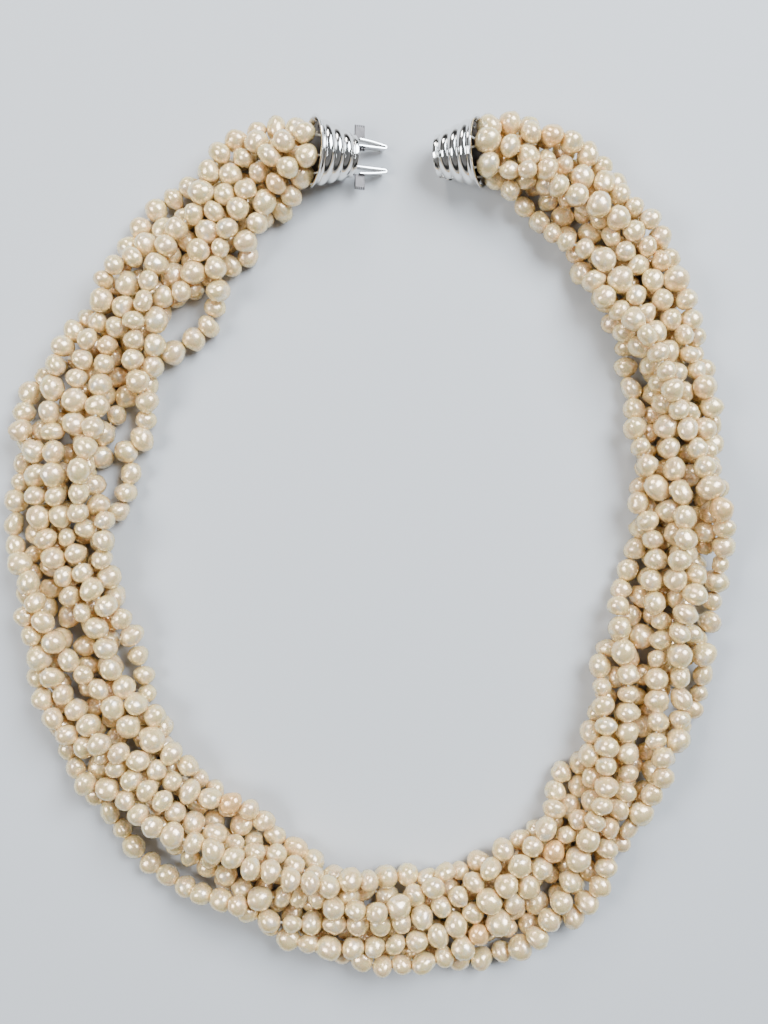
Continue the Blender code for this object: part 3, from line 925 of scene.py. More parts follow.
@dataclass
class Pearls:
    """All pearls of all strands, as arrays in stringing order."""

    strand: np.ndarray
    along: np.ndarray
    place: np.ndarray
    radius: np.ndarray
    half_length: np.ndarray

    def neighbours(self) -> tuple[np.ndarray, np.ndarray]:
        """The pearls that follow each other on one strand."""
        first = np.nonzero(self.strand[1:] == self.strand[:-1])[0]
        return first, first + 1

    def ends(self) -> np.ndarray:
        """Which pearls are first or last on their strand."""
        edge = np.ones(len(self.strand), bool)
        edge[np.intersect1d(*self.neighbours())] = False
        return edge


@dataclass
class Stringing:
    """Strings the pearls on the rope's paths and lets them settle on the table."""

    rope: Rope
    sizes: PearlSizes = field(default_factory=PearlSizes)
    rounds: int = 240
    fall: float = 0.05 * MM
    hold: float = 0.045
    closeness: float = 0.965
    wander: float = 1.6 * MM
    lift_ease: float = 0.012
    still_length: float = 0.004  # how far from a mouth the wandering starts
    wander_rise: float = 0.03  # and over what length it grows
    waves: tuple = (0.024, 0.043, 0.071, 0.12)
    full_wave: float = 0.06  # the shortest wave that wanders fully
    path_points: int = 900
    calm_from: float = 0.75  # the share of the rounds after which the pearls sink slower
    calm_fall: float = 0.15
    passes: int = 4  # how often each round mends threads and touches
    look_again: int = 8  # rounds between two searches for close pearls
    near: float = 7.5 * MM
    table_height: float = 0.97  # a pearl's lowest middle, in its radii
    overshoot: float = 1.3

    def strung(self) -> Pearls:
        """Sets pearls touching each other along each strand's path.

        Returns:
            The pearls before they settle.
        """
        random = np.random.default_rng(SEED)
        parts = []
        for strand in range(self.rope.strands):
            parts.append(self.string_one(strand, random))
        columns = [np.concatenate(column) for column in zip(*parts)]
        return Pearls(*columns)

    def string_one(self, strand: int, random: np.random.Generator) -> tuple:
        """One strand's pearls, as the columns of Pearls."""
        rope, sizes = self.rope, self.sizes
        end = rope.start_of(strand) - sizes.radius
        along = np.linspace(end, rope.length - end, self.path_points)
        path = np.array([rope.strand_point(strand, a) for a in along])
        path += self.wandering(strand, along, random)
        ways = np.concatenate([[0.0], np.cumsum(np.linalg.norm(np.diff(path, axis=0), axis=1))])
        count = int(ways[-1] / (2 * sizes.radius * (sizes.flattest + sizes.longest) / 2))
        radius = sizes.radius * (1 + sizes.spread * np.clip(random.normal(size=count), -2, 2))
        shape = random.uniform(sizes.flattest, sizes.longest, count)
        half_length = radius * shape
        half_length *= ways[-1] / (2 * half_length.sum())
        middles = np.cumsum(2 * half_length) - half_length
        place = np.array([np.interp(middles, ways, path[:, k]) for k in range(3)]).T
        where = np.interp(middles, ways, along)
        return np.full(count, strand), where, place, radius, half_length

    def wandering(self, strand: int, along: np.ndarray, random: np.random.Generator) -> np.ndarray:
        """A slow sideways drift, none at the mouths, since loose strands don't lie true."""
        drift = np.zeros((len(along), 3))
        to_end = np.array([self.rope.to_end(a) for a in along])
        near = np.clip(np.maximum(to_end - self.still_length, 0.0) / self.wander_rise, None, 1.0)
        out = np.array([self.rope.outward(a) for a in along])
        for wave in self.waves:
            phase, size = random.uniform(0, 2 * math.pi, 2), random.uniform(0.35, 1.0, 2)
            size *= self.wander * min(wave / self.full_wave, 1.0)
            drift += out * (size[0] * np.sin(2 * math.pi * along / wave + phase[0]))[:, None]
            drift[:, 2] += size[1] * np.sin(2 * math.pi * along / wave + phase[1])
        return drift * near[:, None]

    def settle(self, pearls: Pearls) -> None:
        """Lets the pearls sink, push each other apart and stay on their threads.

        Args:
            pearls: The pearls, whose places it changes.
        """
        first, after = pearls.neighbours()
        fixed = pearls.ends()
        place = pearls.place.copy()
        aim = pearls.place.copy()
        free = np.where(fixed, 0.0, 1.0)
        reach = pearls.half_length[first] + pearls.half_length[after]
        for turn in range(self.rounds):
            calm = turn >= self.calm_from * self.rounds
            sinking = self.fall * self.calm_fall if calm else self.fall
            place[:, 2] -= sinking * free
            place[:, :2] += self.hold * (aim - place)[:, :2] * free[:, None]
            if turn % self.look_again == 0:
                pairs = self.close_pairs(pearls, place)
            for _ in range(self.passes):
                self.keep_on_thread(place, first, after, reach, free)
                self.press_down(place, free)
                self.push_apart(pearls, place, pairs, free)
                np.maximum(place[:, 2], self.table_height * pearls.radius, out=place[:, 2])
        pearls.place = place

    def close_pairs(self, pearls: Pearls, place: np.ndarray) -> tuple[np.ndarray, np.ndarray]:
        """Pearls near enough to touch soon that aren't next to each other on a thread."""
        gap = np.linalg.norm(place[:, None] - place[None], axis=2)
        first, second = np.nonzero(np.triu(gap < self.near, 1))
        threaded = (pearls.strand[first] == pearls.strand[second]) & (second - first == 1)
        return first[~threaded], second[~threaded]

    @staticmethod
    def keep_on_thread(
        place: np.ndarray, first: np.ndarray, after: np.ndarray, reach: np.ndarray, free: np.ndarray
    ) -> None:
        """Moves threaded neighbours to touch each other, odd and even ones in turn."""
        for odd in (0, 1):
            a, b, r = first[first % 2 == odd], after[first % 2 == odd], reach[first % 2 == odd]
            way = place[b] - place[a]
            far = np.linalg.norm(way, axis=1)
            weight = np.maximum(free[a] + free[b], 1e-9)
            move = way * ((far - r) / far / weight)[:, None]
            place[a] += move * free[a][:, None]
            place[b] -= move * free[b][:, None]

    def press_down(self, place: np.ndarray, free: np.ndarray) -> None:
        """Lowers each pearl that stands above the middle of its two threaded neighbours."""
        drop = (place[:-2, 2] + place[2:, 2]) / 2 - place[1:-1, 2]
        inner = free[1:-1] * free[:-2] * free[2:]
        place[1:-1, 2] += self.lift_ease * np.minimum(drop * inner, 0.0)

    def push_apart(self, pearls: Pearls, place: np.ndarray, pairs: tuple, free: np.ndarray) -> None:
        """Moves pearls of different strands out of each other."""
        a, b = pairs
        way = place[b] - place[a]
        far = np.linalg.norm(way, axis=1)
        deep = self.closeness * (pearls.radius[a] + pearls.radius[b]) - far
        hit = deep > 0
        a, b, way, far, deep = a[hit], b[hit], way[hit], far[hit], deep[hit]
        weight = np.maximum(free[a] + free[b], 1e-9)
        push = way * (deep / far / weight)[:, None]
        shift = np.zeros_like(place)
        count = np.zeros(len(place))
        for hit, sign in ((a, -1), (b, 1)):
            np.add.at(shift, hit, sign * push * free[hit][:, None])
            np.add.at(count, hit, 1)
        place += shift / np.maximum(count, 1)[:, None] * self.overshoot


@dataclass
class PearlTree:
    """The geometry tree that turns points into off-round pearls."""

    side_points: int = 5
    lumps: float = 0.42
    wrinkles: float = 0.30
    ring_depth: float = 0.10

    def build(self) -> bpy.types.NodeTree:
        """Builds the tree.

        Returns:
            A geometry node group with its sizes as named inputs.
        """
        numbers = {
            "Lumps": self.lumps,
            "Wrinkles": self.wrinkles,
            "Ring Depth": self.ring_depth,
            "Points Per Side": self.side_points,
        }
        maker = PointTree("off_round_pearls", numbers, "Pearls")
        count = maker.given["Points Per Side"]
        sides = {f"Vertices {axis}": count for axis in "XYZ"}
        block = maker.add("GeometryNodeMeshCube", {"Size": (2.0, 2.0, 2.0), **sides})
        ball = maker.geometry(
            "GeometryNodeSetPosition", block.outputs["Mesh"], Position=self.rounded(maker)
        )
        place = maker.add("GeometryNodeInputPosition").outputs[0]
        marked = maker.add(
            "GeometryNodeStoreNamedAttribute",
            {"Geometry": ball, "Name": "nacre_place", "Value": place},
            data_type="FLOAT_VECTOR",
            domain="POINT",
        )
        radius = maker.named("pearl_radius")
        height = maker.math("MULTIPLY", radius, maker.named("pearl_button"))
        scale = maker.add(
            "ShaderNodeCombineXYZ", {0: maker.named("pearl_half_length"), 1: radius, 2: height}
        )
        solid = maker.on_points(
            marked.outputs["Geometry"],
            Rotation=maker.named("pearl_turn", "FLOAT_VECTOR"),
            Scale=scale.outputs[0],
        )
        return maker.finished(maker.moved_out(solid, self.bulge(maker)))

    @staticmethod
    def rounded(maker: TreeMaker) -> bpy.types.NodeSocket:
        """Where each point of a cube goes on a ball, with its faces nearly even."""
        place = maker.add("GeometryNodeInputPosition").outputs[0]
        spread = maker.vector("SCALE", place, math.pi / 4)
        return maker.vector("NORMALIZE", maker.vector("TANGENT", spread))

    @staticmethod
    def bulge(maker: PointTree) -> bpy.types.NodeSocket:
        """How far out the skin goes: lumps all over, some wrinkles and a growth ring."""
        given = maker.given
        place = maker.named("nacre_place", "FLOAT_VECTOR")
        seed = maker.named("pearl_seed")
        seeds = {0: seed, 1: maker.math("MULTIPLY", seed, 2.3), 2: 0.0}
        apart = maker.add("ShaderNodeCombineXYZ", seeds)
        spot = maker.vector("ADD", place, apart.outputs[0])
        lump = maker.math("SUBTRACT", maker.noise(spot, 0.72, 0.0), 0.5)
        total = maker.math("MULTIPLY", lump, given["Lumps"])
        wrinkle = maker.math("SUBTRACT", maker.noise(spot, 2.1, 2.0), 0.5)
        wrinkled = maker.math("MULTIPLY", given["Wrinkles"], maker.named("pearl_wrinkle"))
        wrinkle = maker.math("MULTIPLY", wrinkle, wrinkled)
        total = maker.math("ADD", total, wrinkle)
        axial = maker.add("ShaderNodeSeparateXYZ", {0: place}).outputs["X"]
        ring_at = maker.math("MULTIPLY", maker.math("SINE", seed), 0.6)
        away = maker.math("ABSOLUTE", maker.math("SUBTRACT", axial, ring_at))
        ring = maker.ease(away, 0.0, 0.26, 1.0, 0.0)
        depth = maker.math("MULTIPLY", given["Ring Depth"], maker.named("pearl_ring"))
        ring = maker.math("MULTIPLY", ring, depth)
        total = maker.math("SUBTRACT", total, ring)
        return maker.math("MULTIPLY", total, maker.named("pearl_radius"))


@dataclass(frozen=True)
class Length:
    """One of a strand's four lengths."""

    strand: int
    stretch: Stretch
    chosen: np.ndarray  # the length's pearls
    on_strand: np.ndarray  # all pearls of its strand

    def name(self, what: str) -> str:
        """What a piece of this length is called."""
        return f"strand_{self.strand + 1}_{what}_{self.stretch.value}"

    def nodes(self) -> list[str]:
        """The CAD nodes that the length stands for."""
        name = f"strand_{self.strand + 1}"
        return {
            Stretch.LEFT_END: [f"{name}_left", f"left_thread_end_{self.strand + 1}"],
            Stretch.LEFT_BEND: [f"{name}_left", f"{name}_front"],
            Stretch.RIGHT_BEND: [f"{name}_front", f"{name}_right"],
            Stretch.RIGHT_END: [f"{name}_right", f"right_thread_end_{self.strand + 1}"],
        }[self.stretch]


@dataclass
class Strands:
    """The pearls and threads of all strands, each strand in four lengths."""

    rope: Rope
    nacre: bpy.types.Material
    silk: bpy.types.Material
    thread_radius: float = 0.25 * MM
    mouth_reach: float = 68 * MM  # how far from a mouth the rope still turns with its clasp half
    mouth_spare: float = 12 * MM  # how much longer the length at a mouth is than that
    bend_reach: float = 45 * MM  # how far on each side of a bend the rope turns
    middle_height: float = 6 * MM
    drawn_thicker: float = 1.03  # how much larger each pearl is than it settled, across
    drawn_longer: float = 1.04  # and along its thread

    def __post_init__(self) -> None:
        """Strings and settles the pearls, and works out where the lengths meet."""
        self.left_bend = self.rope.length_at_place(LEFT_BEND)
        self.right_bend = self.rope.length_at_place(RIGHT_BEND)
        self.cuts = [
            0.0,
            self.mouth_reach + self.mouth_spare,
            (self.left_bend + self.right_bend) / 2,
            self.rope.length - self.mouth_reach - self.mouth_spare,
            self.rope.length,
        ]
        stringing = Stringing(self.rope)
        self.pearls = stringing.strung()
        stringing.settle(self.pearls)
        random = np.random.default_rng(SEED + 1)
        count = len(self.pearls.strand)
        sizes, place = stringing.sizes, self.pearls.place
        self.seed = random.uniform(0, sizes.seeds, count)
        wrinkled = random.uniform(size=count) < sizes.wrinkled_share
        near = np.linalg.norm(place[:, :2] - sizes.wrinkled_place, axis=1) < sizes.wrinkled_reach
        wrinkled |= near & (random.uniform(size=count) < sizes.wrinkled_there)
        self.wrinkle = wrinkled * random.uniform(*sizes.wrinkle_depths, count) + sizes.least_wrinkle
        self.button = random.uniform(*sizes.buttons, count)
        self.ring = random.uniform(*sizes.rings, count).clip(0, 1)
        self.warmth = random.beta(*sizes.warmths, count) * sizes.warmest
        honeyed = random.uniform(size=count) < sizes.honey_share
        self.warmth += honeyed * random.uniform(*sizes.honey_warmths, count)
        for spot in sizes.honey_places:
            away = np.linalg.norm(place[:, :2] - spot, axis=1) - 0.8 * place[:, 2]
            self.warmth[np.argmin(away)] = 1.0
        self.roll = random.uniform(0, 2 * math.pi, count)
        self.lean = random.normal(0, sizes.lean, (count, 2))
        self.tree = PearlTree().build()

    def middle(self, along: float) -> Vector:
        """The rope's middle at a length along it, at the pearls' height."""
        x, y, _ = self.rope.sample(along)
        return Vector((x, y, self.middle_height))

    def joint_of(self, stretch: Stretch) -> tuple[str, str, Vector, Vector]:
        """The two bodies that a length spans, and where it starts and stops turning."""
        far, near, bend = self.rope.length, self.mouth_reach, self.bend_reach
        left, right = self.left_bend, self.right_bend
        first, second, start, stop = {
            Stretch.LEFT_END: ("tongue_half", "left_arm", 0.0, near),
            Stretch.LEFT_BEND: ("left_arm", "front_strands", left - bend, left + bend),
            Stretch.RIGHT_BEND: ("front_strands", "right_arm", right - bend, right + bend),
            Stretch.RIGHT_END: ("right_arm", "box_half", far - near, far),
        }[stretch]
        return first, second, self.middle(start), self.middle(stop)

    def turn_of(self, index: int, ahead: Vector) -> tuple[float, float, float]:
        """The Euler turn that lays a pearl's X along its thread, rolled and a little askew."""
        aside = Vector((-ahead.y, ahead.x, 0.0)).normalized()
        lean = ahead + aside * self.lean[index, 0] + Vector((0, 0, self.lean[index, 1]))
        quaternion = lean.to_track_quat("X", "Z")
        roll = Matrix.Rotation(self.roll[index], 3, "X")
        return tuple((quaternion.to_matrix() @ roll).to_euler())

    def build(self, left_holes: list[Vector], right_holes: list[Vector]) -> None:
        """Makes every strand's pearls and threads.

        Args:
            left_holes: Where each thread goes through the left plate, by strand.
            right_holes: The same on the right.
        """
        for strand in range(self.rope.strands):
            on_strand = np.nonzero(self.pearls.strand == strand)[0]
            for number, stretch in enumerate(Stretch):
                along = self.pearls.along[on_strand]
                inside = (along >= self.cuts[number]) & (along < self.cuts[number + 1])
                length = Length(strand, stretch, on_strand[inside], on_strand)
                beads = self.make_pearls(length)
                self.make_thread(length, left_holes[strand], right_holes[strand])
            LOG.info("strand %d: %d pearls", strand + 1, len(on_strand))

    def make_pearls(self, length: Length) -> bpy.types.Object:
        """One length's pearls, as one mesh."""
        place, chosen = self.pearls.place, length.chosen
        mesh = bpy.data.meshes.new("points")
        mesh.from_pydata([tuple(place[k]) for k in chosen], [], [])
        turns = []
        for k in chosen:
            before, after = max(k - 1, length.on_strand[0]), min(k + 1, length.on_strand[-1])
            turns.append(self.turn_of(k, Vector(place[after] - place[before]).normalized()))
        columns = {
            "pearl_radius": self.pearls.radius[chosen] * self.drawn_thicker,
            "pearl_half_length": self.pearls.half_length[chosen] * self.drawn_longer,
            "pearl_button": self.button[chosen],
            "pearl_seed": self.seed[chosen],
            "pearl_wrinkle": self.wrinkle[chosen],
            "pearl_ring": self.ring[chosen],
            "pearl_warmth": self.warmth[chosen],
        }
        for name, values in columns.items():
            attribute = mesh.attributes.new(name, "FLOAT", "POINT")
            attribute.data.foreach_set("value", values.astype(np.float32))
        attribute = mesh.attributes.new("pearl_turn", "FLOAT_VECTOR", "POINT")
        attribute.data.foreach_set("vector", np.array(turns, np.float32).ravel())
        beads = grown(length.name("pearls"), mesh, self.tree, self.nacre)
        made = beads.data
        for spare in {*columns, "pearl_turn"} - set(SHADED_COLUMNS):
            if spare in made.attributes:
                made.attributes.remove(made.attributes[spare])
        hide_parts(*length.nodes())
        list(self.joint_of(length.stretch))
        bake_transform(beads)
        return beads

    def make_thread(
        self, length: Length, left_hole: Vector, right_hole: Vector
    ) -> None:
        """One length of silk, through its pearls and, at a mouth, on to its hole and knot."""
        place, chosen = self.pearls.place, length.chosen
        points = [Vector(place[k]) for k in chosen]
        if length.stretch is Stretch.LEFT_END:
            points.insert(0, left_hole)
        else:
            points.insert(0, Vector((place[chosen[0] - 1] + place[chosen[0]]) / 2))
        if length.stretch is Stretch.RIGHT_END:
            points.append(right_hole)
        else:
            points.append(Vector((place[chosen[-1] + 1] + place[chosen[-1]]) / 2))
        thread = new_piece(length.name("silk"), tube_along(points, self.thread_radius), self.silk)
        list(self.joint_of(length.stretch))
        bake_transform(thread)


# ---------------------------------------------------------------- clasp


@dataclass
class CapSizes:
    """The sizes that both clasp halves share, as the CAD pieces have them."""

    mouth_radius: float = 8.2 * MM
    face_radius: float = 4.9 * MM
    length: float = 10.0 * MM
    lip: float = 1.4 * MM
    ring: float = 1.0 * MM
    ribs: int = 3
    rib_height: float = 0.62 * MM
    groove_depth: float = 0.62 * MM
    wall: float = 0.8 * MM
    plate: float = 0.8 * MM
    anchor_depth: float = 1.1 * MM
    anchor_circle: float = 5.4 * MM
    gap: float = 0.3 * MM

    def cone(self, axial: float) -> float:
        """The cone that the lip and the ring touch."""
        return self.mouth_radius + (self.face_radius - self.mouth_radius) * axial / self.length

    def bore(self, axial: float) -> float:
        """The plain conical bore."""
        return self.cone(axial) - self.wall

    def tilt(self) -> float:
        """How far the cap's axis droops when it rests on its lip and its ring."""
        between = self.length - self.lip / 2 - self.ring / 2
        return math.atan2(self.mouth_radius - self.face_radius, between)


@dataclass
class TongueSizes:
    """The sizes of the two folded springs and their tabs."""

    thickness: float = 0.35 * MM
    width: float = 2.2 * MM
    length: float = 8.2 * MM
    offset: float = 2.3 * MM
    spread: float = 1.15 * MM
    tail: float = 1.4 * MM
    press_angle: float = math.radians(8.0)
    tab_length: float = 3.0 * MM
    tab_width: float = 2.4 * MM
    tab_setback: float = 0.9 * MM
    tab_thickness: float = 0.6 * MM
    pip: float = 0.6 * MM
    fold_setback: float = 0.45 * MM  # from the fold's line back to where it starts to round
    fold_stretch: float = 1.4  # how much longer than wide the fold's round is
    comb_pitch: float = 0.52 * MM  # from one grip ridge of a tab to the next


@dataclass
class ClaspHalf:
    """A ribbed cap with its face plate and its thread plate."""

    side: Side
    mouth: Vector
    polished: bpy.types.Material
    satin: bpy.types.Material
    sizes: CapSizes = field(default_factory=CapSizes)

    @property
    def body(self) -> str:
        """The CAD body that this half rides on."""
        return "tongue_half" if self.side is Side.LEFT else "box_half"

    def stand(self) -> Matrix:
        """From the half's own space, with X from the mouth to the face, to the world."""
        turn = Matrix.Rotation(0.0 if self.side is Side.LEFT else math.pi, 4, "Z")
        return Matrix.Translation(self.mouth) @ turn @ Matrix.Rotation(self.sizes.tilt(), 4, "Y")

    def finish_piece(
        self,
        name: str,
        mesh: bpy.types.Mesh,
        material: bpy.types.Material,
        node: str,
        body: str | None = None,
    ) -> None:
        """Puts a mesh made in the half's own space in place and on its body.

        Args:
            name: The piece's name.
            mesh: Its mesh, with X from the mouth to the face.
            material: Its silver, the polished one or the satin one.
            node: The CAD node that it replaces.
            body: The body that it rides on, where that isn't the half's own.
        """
        mesh.transform(self.stand())
        piece = new_piece(name, mesh, material)
        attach(piece, body or self.body)
        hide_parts(node)

    def on_circle(self, angle: float, axial: float) -> Vector:
        """Where a thread runs at an angle round the mouth, in the half's own space."""
        circle = self.sizes.anchor_circle
        return Vector((axial, circle * math.cos(angle) * self.side.value, circle * math.sin(angle)))

    def outline(self) -> list[tuple[float, float]]:
        """The cap's outline: a rolled lip, ribs with crisp grooves, a face ring and the bore."""
        s = self.sizes
        start, stop = s.lip + 0.25 * MM, s.length - s.ring - 0.1 * MM
        points = [(0.0, s.mouth_radius - 0.18 * MM), (0.05 * MM, s.mouth_radius - 0.05 * MM)]
        floor = s.cone(start) - s.groove_depth
        for step in range(12):
            share = step / 12
            fall = math.sin(math.pi / 2 * share) ** 1.5
            axial = 0.16 * MM + (start - 0.2 * MM) * share
            points.append((axial, s.mouth_radius + (floor - s.mouth_radius) * fall))
        steps = 30 * s.ribs
        for step in range(steps + 1):
            share = step / steps
            axial = start + (stop - start) * share
            wave = abs(math.sin(math.pi * s.ribs * share)) ** 0.8
            points.append((axial, s.cone(axial) - s.groove_depth + s.rib_height * wave))
        points += self.roll(s.length - s.ring, s.length, s.face_radius, 0.25 * MM)
        chamfer = 0.35 * MM
        points += [
            (s.length, s.bore(s.length)),
            (chamfer, s.bore(chamfer)),
            (0.0, s.bore(0.0) + 0.2 * MM),
        ]
        return points

    @staticmethod
    def roll(start: float, stop: float, radius: float, rounding: float) -> list[tuple[float, float]]:
        """A band with rounded shoulders, from its near side to its far side."""
        points = []
        for step in range(7):
            angle = math.pi / 2 * step / 6
            inset, drop = rounding * (1 - math.cos(angle)), rounding * (1 - math.sin(angle))
            points.append((start + inset, radius - drop))
        for step in range(7):
            angle = math.pi / 2 * step / 6
            inset, drop = rounding * (1 - math.sin(angle)), rounding * (1 - math.cos(angle))
            points.append((stop - inset, radius - drop))
        return points

    def holes(self, angles: list[float]) -> list[Vector]:
        """Where each thread passes its plate, in the world.

        Args:
            angles: Each strand's angle round the mouth, from outwards over the top.

        Returns:
            One point for each strand, behind the plate.
        """
        s = self.sizes
        behind = s.anchor_depth + s.plate + s.gap
        return [self.stand() @ self.on_circle(angle, behind) for angle in angles]

    def build_cap(self, cutters: list[bpy.types.Mesh]) -> None:
        """The shell, with notches cut where cutters say so."""
        shell = turned(self.outline(), CAP_STEPS)
        if cutters:
            shell = cut_out(shell, cutters)
        self.finish_piece(f"{self.body}_ribbed_cap", shell, self.polished, f"{self.body}_cap")

    def build_face(self, cutters: list[bpy.types.Mesh]) -> None:
        """The flat face plate."""
        s = self.sizes
        radius = s.bore(s.length) - 0.06 * MM
        edge = 0.12 * MM
        low, high = s.length - s.plate, s.length
        outline = [
            (low, 0.0),
            (high, 0.0),
            (high, radius - edge),
            (high - edge, radius),
            (low + edge, radius),
            (low, radius - edge),
        ]
        plate = self.disc(outline)
        if cutters:
            plate = cut_out(plate, cutters)
        self.finish_piece(f"{self.body}_face", plate, self.satin, f"{self.body}_face_plate")

    def build_thread_plate(self, angles: list[float]) -> None:
        """The holed plate inside, and the knots of the threads behind it."""
        s = self.sizes
        low, high = s.anchor_depth, s.anchor_depth + s.plate
        radius = s.bore(high) - 0.1 * MM
        plate = self.disc([(low, 0.0), (high, 0.0), (high, radius), (low, radius)])
        middle = (low + high) / 2
        drills = [self.drill(self.on_circle(angle, middle), 0.5 * MM, 3 * s.plate) for angle in angles]
        word = self.side.word
        self.finish_piece(
            f"{word}_thread_anchor", cut_out(plate, drills), self.satin, f"{word}_thread_plate"
        )

    @staticmethod
    def disc(outline: list[tuple[float, float]]) -> bpy.types.Mesh:
        """A turned solid whose outline starts and ends on the axis."""
        mesh = turned(outline, DISC_STEPS)
        with Shaping(mesh) as shape:
            bmesh.ops.remove_doubles(shape, verts=shape.verts[:], dist=1e-8)
            bmesh.ops.dissolve_degenerate(shape, edges=shape.edges[:], dist=1e-9)
            bmesh.ops.recalc_face_normals(shape, faces=shape.faces[:])
        return mesh

    @staticmethod
    def drill(at: Vector, radius: float, length: float) -> bpy.types.Mesh:
        """A round cutter along X."""
        mesh = bpy.data.meshes.new("drill")
        with Shaping(mesh) as shape:
            ends = {"radius1": radius, "radius2": radius, "depth": length, "segments": 20}
            bmesh.ops.create_cone(shape, cap_ends=True, **ends)
        mesh.transform(Matrix.Translation(at) @ Matrix.Rotation(math.pi / 2, 4, "Y"))
        return mesh


@dataclass
class KnotTree:
    """The geometry tree that sets a silk knot on every point."""

    radius: float = 0.62 * MM
    lumps: float = 0.9

    def build(self) -> bpy.types.NodeTree:
        """Builds the tree."""
        maker = PointTree("thread_knots", {"Knot Radius": self.radius}, "Knots")
        radius = maker.given["Knot Radius"]
        ball = maker.add("GeometryNodeMeshIcoSphere", {"Radius": radius, "Subdivisions": 3})
        solid = maker.on_points(ball.outputs["Mesh"])
        place = maker.add("GeometryNodeInputPosition").outputs[0]
        lump = maker.math("SUBTRACT", maker.noise(place, 1900.0, 1.0), 0.5)
        bulge = maker.math("MULTIPLY", lump, maker.math("MULTIPLY", radius, self.lumps))
        return maker.finished(maker.moved_out(solid, bulge))


@dataclass
class Tongue:
    """The two folded springs with their press tabs and the pip beside the upper one."""

    half: ClaspHalf
    sizes: TongueSizes = field(default_factory=TongueSizes)

    @property
    def fold(self) -> tuple[float, float]:
        """The fold's place along the half's X and from its axis."""
        t, s = self.sizes, self.half.sizes
        return s.length + t.length - t.thickness / 2, t.offset + t.thickness + s.gap / 2

    def build(self) -> None:
        """Makes both springs, both tabs and the pip."""
        for name, side in (("upper", 1), ("lower", -1)):
            self.fixed_leaf(name, side)
            self.sprung_leaf(name, side)
            self.tab(name, side)
        t, s = self.sizes, self.half.sizes
        pip = bevelled_box(Vector((2 * t.pip, t.pip, 2 * t.pip)), 0.15 * MM)
        size = Vector((0.45 * t.pip, 2 * t.pip, 3 * t.pip))
        pip = cut_out(pip, [bevelled_box(size, 0.02 * MM, (0, -0.8 * t.pip, 0))])
        aside = t.offset - s.gap - t.pip / 2 + 0.25 * MM
        pip.transform(Matrix.Translation((s.length + 4 * t.pip, aside, 0)))
        self.half.finish_piece("forked_guide_pip", pip, self.half.satin, "latch_guide_pip")

    def strip(self, points: list[tuple[float, float]]) -> bpy.types.Mesh:
        """A strip of sheet silver, as wide as the tongue, through points in the half's XY."""
        t = self.sizes
        mesh = bpy.data.meshes.new("strip")
        rows = [(x, y, z) for x, y in points for z in (-t.width / 2, t.width / 2)]
        faces = [(2 * k, 2 * k + 2, 2 * k + 3, 2 * k + 1) for k in range(len(points) - 1)]
        mesh.from_pydata(rows, [], faces)
        obj = linked("strip", mesh)
        thick = obj.modifiers.new("thick", "SOLIDIFY")
        thick.thickness = t.thickness
        thick.offset = 0.0
        edge = obj.modifiers.new("edge", "BEVEL")
        edge.width = 0.06 * MM
        edge.segments = 2
        edge.limit_method = "ANGLE"
        edge.angle_limit = math.radians(50)
        result = baked(obj)
        with Shaping(result) as shape:
            bmesh.ops.recalc_face_normals(shape, faces=shape.faces[:])
        return result

    def fold_round(self, side: int, radius: float, angles: list[float]) -> list[tuple]:
        """Points round the fold, by their angles from its foremost line outwards."""
        t = self.sizes
        along, aside = self.fold
        return [
            (
                along - t.fold_setback + t.fold_stretch * radius * math.cos(angle),
                side * (aside + radius * math.sin(angle)),
            )
            for angle in angles
        ]

    def fixed_leaf(self, name: str, side: int) -> None:
        """The inner leaf, from the face out to the fold and half round it."""
        t, s = self.sizes, self.half.sizes
        along, aside = self.fold
        inner = t.offset + t.thickness / 2
        points = [(s.length - 0.1 * MM, side * inner), (along - t.fold_setback, side * inner)]
        quarter = [-math.pi / 2 + math.pi / 2 * step / 8 for step in range(1, 9)]
        points += self.fold_round(side, aside - inner, quarter)
        mesh = self.strip(points)
        self.half.finish_piece(
            f"{name}_fixed_spring", mesh, self.half.polished, f"{name}_fixed_leaf"
        )

    def sprung_leaf(self, name: str, side: int) -> None:
        """The outer leaf, from the fold back towards the face."""
        t, s = self.sizes, self.half.sizes
        along, aside = self.fold
        near = t.offset + t.thickness + s.gap + t.thickness / 2
        far = near - s.gap + t.spread
        tip = s.length + t.tail
        quarter = [math.pi / 2 * step / 8 for step in range(9)]
        points = self.fold_round(side, near - aside, quarter)
        for step in range(1, 9):
            share = step / 8
            bow = 0.12 * MM * math.sin(math.pi * share)
            x = along - t.fold_setback + (tip - along + t.fold_setback) * share
            points.append((x, side * (near + (far - near) * share + bow)))
        mesh = self.strip(points)
        body = f"{name}_spring"
        self.half.finish_piece(
            f"{name}_sprung_leaf", mesh, self.half.polished, f"{name}_spring_leaf", body
        )

    def tab(self, name: str, side: int) -> None:
        """The press tab, with grip ridges across its free end."""
        t, s = self.sizes, self.half.sizes
        near = t.offset + 2 * t.thickness + t.spread - 0.1 * MM
        far = t.offset + 2 * t.thickness + t.spread + s.gap + t.tab_length
        middle = s.length + t.tail - t.tab_setback + t.tab_width / 2
        size = Vector((t.tab_width, far - near, t.tab_thickness))
        plate = bevelled_box(size, 0.12 * MM, (middle, side * (near + far) / 2, 0))
        combs = []
        for step in range(4):
            x, y = middle + (step - 1.5) * t.comb_pitch, side * (far - 0.05 * MM)
            size = Vector((0.28 * MM, 1.0 * MM, 0.6 * MM))
            comb = bevelled_box(size, 0.05 * MM, (x, y, t.tab_thickness / 2))
            under = comb.copy()
            under.transform(Matrix.Translation((0, 0, -t.tab_thickness)))
            combs += [comb, under]
        body = f"{name}_spring"
        self.half.finish_piece(
            f"{name}_grip_tab", cut_out(plate, combs), self.half.satin, f"{name}_press_tab", body
        )


